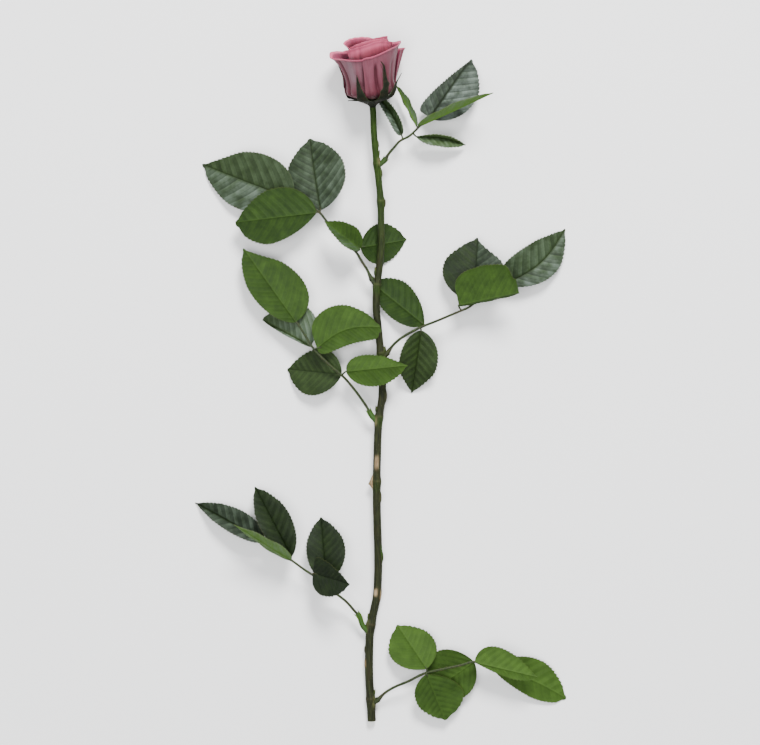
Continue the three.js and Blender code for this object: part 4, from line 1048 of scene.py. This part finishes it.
def petal_finish(name, foot, deep, body, pale, rim, red):
    """The skin of one face of a petal: fine veins that fan from its foot to its rim."""
    material, it = finish(name)
    across, up, serial = it.mark("across"), it.mark("up"), it.mark("serial")
    fan = it.node("ShaderNodeCombineXYZ", {}, {"X": across * 16, "Y": up * 1.3, "Z": serial * 23})
    veins = it.noise(fan, 2.2, 5.0, 0.62)
    cloud = it.noise(fan, 0.2, 3.0)
    grain = it.noise(it.stretched(1, 1, 1), 3.0, 3.0)
    # Paler towards the rim, and darker low on the petal where deep paints shade.
    lightness = (up - it.mark("deep") * 0.5 + (cloud - 0.5) * 0.9).between(0.1, 0.9)
    colour = it.blend(lightness, body, pale)
    colour = it.blend(it.mark("blush") * 0.8, colour, red)
    # A painted reflection: grey laid over the petal where mist is.
    colour = it.blend(it.mark("mist") * cloud.between(0.3, 0.6) * 1.3, colour, dye(122, 104, 111))
    # Painted shade: dark red low on the petal, deep in the bloom where the petals crowd.
    colour = it.blend((it.mark("deep") + (cloud - 0.5) * 0.5).between(0.1, 0.95), colour, deep)
    # Painted shade in the creases, darker where they are deeper.
    colour = it.blend(it.mark("fold").between(0.1, 0.8) * 0.9, colour, deep)
    # The veins take the same dark red as the painted shade.
    colour = it.blend(veins.between(0.42, 0.72) * 0.25, colour, deep)
    colour = it.blend(grain.between(0.5, 0.8) * 0.1, colour, rim)
    # The pale rim: partly the petal's own paler edge, partly painted light on the rims that catch
    # it.
    colour = it.blend((it.mark("glow") + (cloud - 0.5) * 0.5).between(0.1, 0.9), colour, rim)
    colour = it.blend(up.between(0.1, 0.0), colour, foot)
    it.surface(
        Base_Color=colour, Roughness=0.55 + 0.18 * veins, Specular_IOR_Level=0.22,
        Sheen_Weight=0.03, Sheen_Roughness=0.5,
        Subsurface_Weight=0.05, Subsurface_Radius=(0.003, 0.0008, 0.0008), Subsurface_Scale=0.5,
        Normal=it.bump(veins + 0.3 * grain, 0.16, 0.7))
    return material


petal_outside = petal_finish(
    "petal outside", dye(74, 52, 24), dye(60, 13, 25), dye(76, 36, 46), dye(99, 56, 68),
    dye(178, 82, 108), dye(138, 50, 68))
petal_inside = petal_finish(
    "petal inside", dye(90, 60, 34), dye(68, 9, 25), dye(98, 28, 50), dye(120, 48, 72),
    dye(182, 82, 110), dye(124, 38, 60))
hold(opening_skin.piece("bloom_opening_petals", petal_outside, petal_inside), "bloom")


# Inner petals
# The petals still wrapped in the bud. They follow a rule: each one stands a
# golden angle on from the last, and is smaller and wraps further round.

def inner_petals_shape():
    tree = bpy.data.node_groups.new("Spiral of petals", "GeometryNodeTree")
    ports = tree.interface
    for name, kind in (
            ("Petals", "Int"), ("First turn", "Float"), ("Golden angle", "Float"),
            ("Columns", "Int"), ("Rows", "Int"), ("Outer radius", "Float"),
            ("Inner radius", "Float"), ("Outer height", "Float"), ("Inner height", "Float"),
            ("Outer spread", "Float"), ("Inner spread", "Float"), ("Lip", "Float"),
            ("Drop", "Float"), ("Thickness", "Float"), ("Ruffle", "Float"), ("Seed", "Int"),
            ("Inside", "Material"), ("Outside", "Material")):
        ports.new_socket(name, in_out="INPUT", socket_type="NodeSocket" + kind)
    ports.new_socket("Bud", in_out="OUTPUT", socket_type="NodeSocketGeometry")
    it = Recipe(tree)
    given = it.node("NodeGroupInput")

    def kept(geometry, name, value):
        settings = {"data_type": "FLOAT", "domain": "POINT"}
        return it.node("GeometryNodeStoreNamedAttribute", settings, {
            "Geometry": geometry, "Name": name, "Value": value})

    def read(name):
        return it.node("GeometryNodeInputNamedAttribute", {"data_type": "FLOAT"}, {"Name": name})

    spots = it.node("GeometryNodePoints", {}, {"Count": given.out("Petals")})
    spots = kept(spots, "serial", it.node("GeometryNodeInputIndex"))
    blade = it.node("GeometryNodeMeshGrid", {}, {
        "Size X": 2.0, "Size Y": 1.0, "Vertices X": given.out("Columns"),
        "Vertices Y": given.out("Rows")})
    place = it.node("ShaderNodeSeparateXYZ", {}, {0: it.node("GeometryNodeInputPosition")})
    blade = kept(blade, "across", place.out("X"))
    blade = kept(blade, "up", place.out("Y") + 0.5)
    # glow is the pale rim, partly the petal's own paler edge and partly painted light.
    blade = kept(blade, "glow", read("up").between(0.86, 1.0))
    # deep is painted shade, low in the bud.
    blade = kept(blade, "deep", 1 - read("up").between(0.55, 0.92))
    blade = kept(blade, "blush", 0.35)
    blades = it.node("GeometryNodeInstanceOnPoints", {}, {"Points": spots, "Instance": blade})
    blades = it.node("GeometryNodeRealizeInstances", {}, {"Geometry": blades})

    serial, across = read("serial"), read("across")
    inward = serial / (given.out("Petals") - 1)
    draw = it.node("FunctionNodeRandomValue", {"data_type": "FLOAT"}, {
        "Min": -1.0, "Max": 1.0, "ID": serial, "Seed": given.out("Seed")})
    start = 0.02 + 0.42 * inward
    up = start + (1 - start) * read("up")
    bowl = (1 - (1 - (up / 0.12).least(1.0)) ** 2).root()
    shape = 0.7 * bowl + 0.3 * up ** 1.6
    closing = inward ** 0.9
    own_radius = given.out("Outer radius") + (
        given.out("Inner radius") - given.out("Outer radius")) * closing
    curl = given.out("Lip") * (1 - inward) * up.between(0.55, 1.0) * (1 - across * across)
    ruffle = given.out("Ruffle") * (across * 6 + serial * 2.3).sine() * up ** 5
    radius = own_radius * shape * (1 - 0.04 * across) + curl + ruffle * (1 - 0.6 * inward)
    own_height = given.out("Outer height") + (
        given.out("Inner height") - given.out("Outer height")) * inward + draw * 0.0006
    height = own_height * up * (1 - given.out("Drop") * abs(across) ** 1.6) + ruffle * 0.4
    spread = given.out("Outer spread") + (
        given.out("Inner spread") - given.out("Outer spread")) * inward
    turn = (given.out("First turn") + given.out("Golden angle") * serial
            - spread * across) * (math.pi / 180)
    wrapped = it.node("GeometryNodeSetPosition", {}, {
        "Geometry": blades, "Position": it.node("ShaderNodeCombineXYZ", {}, {
            "X": radius * turn.sine(), "Y": height, "Z": radius * turn.cosine()})})
    inner = it.node("GeometryNodeExtrudeMesh", {"mode": "FACES"}, {
        "Mesh": wrapped, "Offset Scale": given.out("Thickness"), "Individual": False})
    inner_side = it.node("GeometryNodeSetMaterial", {}, {
        "Geometry": inner, "Material": given.out("Outside")})
    inner_side = it.node("GeometryNodeSetMaterial", {}, {
        "Geometry": inner_side, "Selection": inner.out("Top"), "Material": given.out("Inside")})
    outer_side = it.node("GeometryNodeSetMaterial", {}, {
        "Geometry": it.node("GeometryNodeFlipFaces", {}, {"Mesh": wrapped}),
        "Material": given.out("Outside")})
    closed = it.node("GeometryNodeMergeByDistance", {}, {
        "Geometry": it.node("GeometryNodeJoinGeometry", {}, {"Geometry": [outer_side, inner_side]}),
        "Distance": 0.000002})
    it.node("NodeGroupOutput", {}, {
        "Bud": it.node("GeometryNodeSetShadeSmooth", {}, {"Geometry": closed})})
    return tree


bud = bpy.data.objects.new("bloom_inner_petals", bpy.data.meshes.new("bloom_inner_petals"))
bpy.context.scene.collection.objects.link(bud)
grown(bud, inner_petals_shape(), Petals=9, First_turn=-20.0, Golden_angle=137.5, Columns=41,
      Rows=33, Outer_radius=0.0135, Inner_radius=0.003, Outer_height=0.0435,
      Inner_height=0.041, Outer_spread=70.0, Inner_spread=125.0, Lip=0.0012, Drop=0.06,
      Thickness=0.00045, Ruffle=0.0004, Seed=5, Inside=petal_inside, Outside=petal_outside)
upright = np.column_stack(
    (bloom_right, bloom_axis, bloom_front, BLOOM_BASE * 0.001))
bud.data.transform(Matrix((*upright.tolist(), (0, 0, 0, 1))))
hold(bud, "bloom")


# Table, light and camera
# A white table that the rose lies on, a broad soft lamp beyond the bloom and
# a faint one overhead, and the camera straight above.

bpy.ops.mesh.primitive_plane_add(size=8)
table = bpy.context.object
table.name = "table"
white, it = finish("white table")
clouding = it.noise(it.stretched(1, 1, 1), 0.004)
it.surface(
    Base_Color=it.blend(clouding, (0.86, 0.86, 0.86, 1), (0.9, 0.9, 0.9, 1)), Roughness=0.9)
table.data.materials.append(white)


def lamp(name, place, aim, size, power):
    light = bpy.data.lights.new(name, "AREA")
    light.shape, light.size, light.energy = "DISK", size, power
    holder = bpy.data.objects.new(name, light)
    holder.location = place
    holder.rotation_euler = (Vector(aim) - Vector(place)).to_track_quat("-Z", "Y").to_euler()
    bpy.context.scene.collection.objects.link(holder)


lamp("broad lamp beyond the bloom", (0.5, 2.1, 2.1), (0, 0, 0), 1.1, 190)
lamp("faint lamp overhead", (-0.6, -0.4, 3.0), (0, 0, 0), 2.0, 90)
world = bpy.data.worlds.new("pale room")
world.use_nodes = True
world.node_tree.nodes["Background"].inputs["Color"].default_value = (0.95, 0.97, 1, 1)
world.node_tree.nodes["Background"].inputs["Strength"].default_value = 0.7
bpy.context.scene.world = world

camera = bpy.data.cameras.new("camera")
camera.lens, camera.sensor_width = 200, 36
camera_object = bpy.data.objects.new("camera", camera)
camera_object.location = (-0.0004, 0.0052, 3.398)
bpy.context.scene.collection.objects.link(camera_object)
bpy.context.scene.camera = camera_object
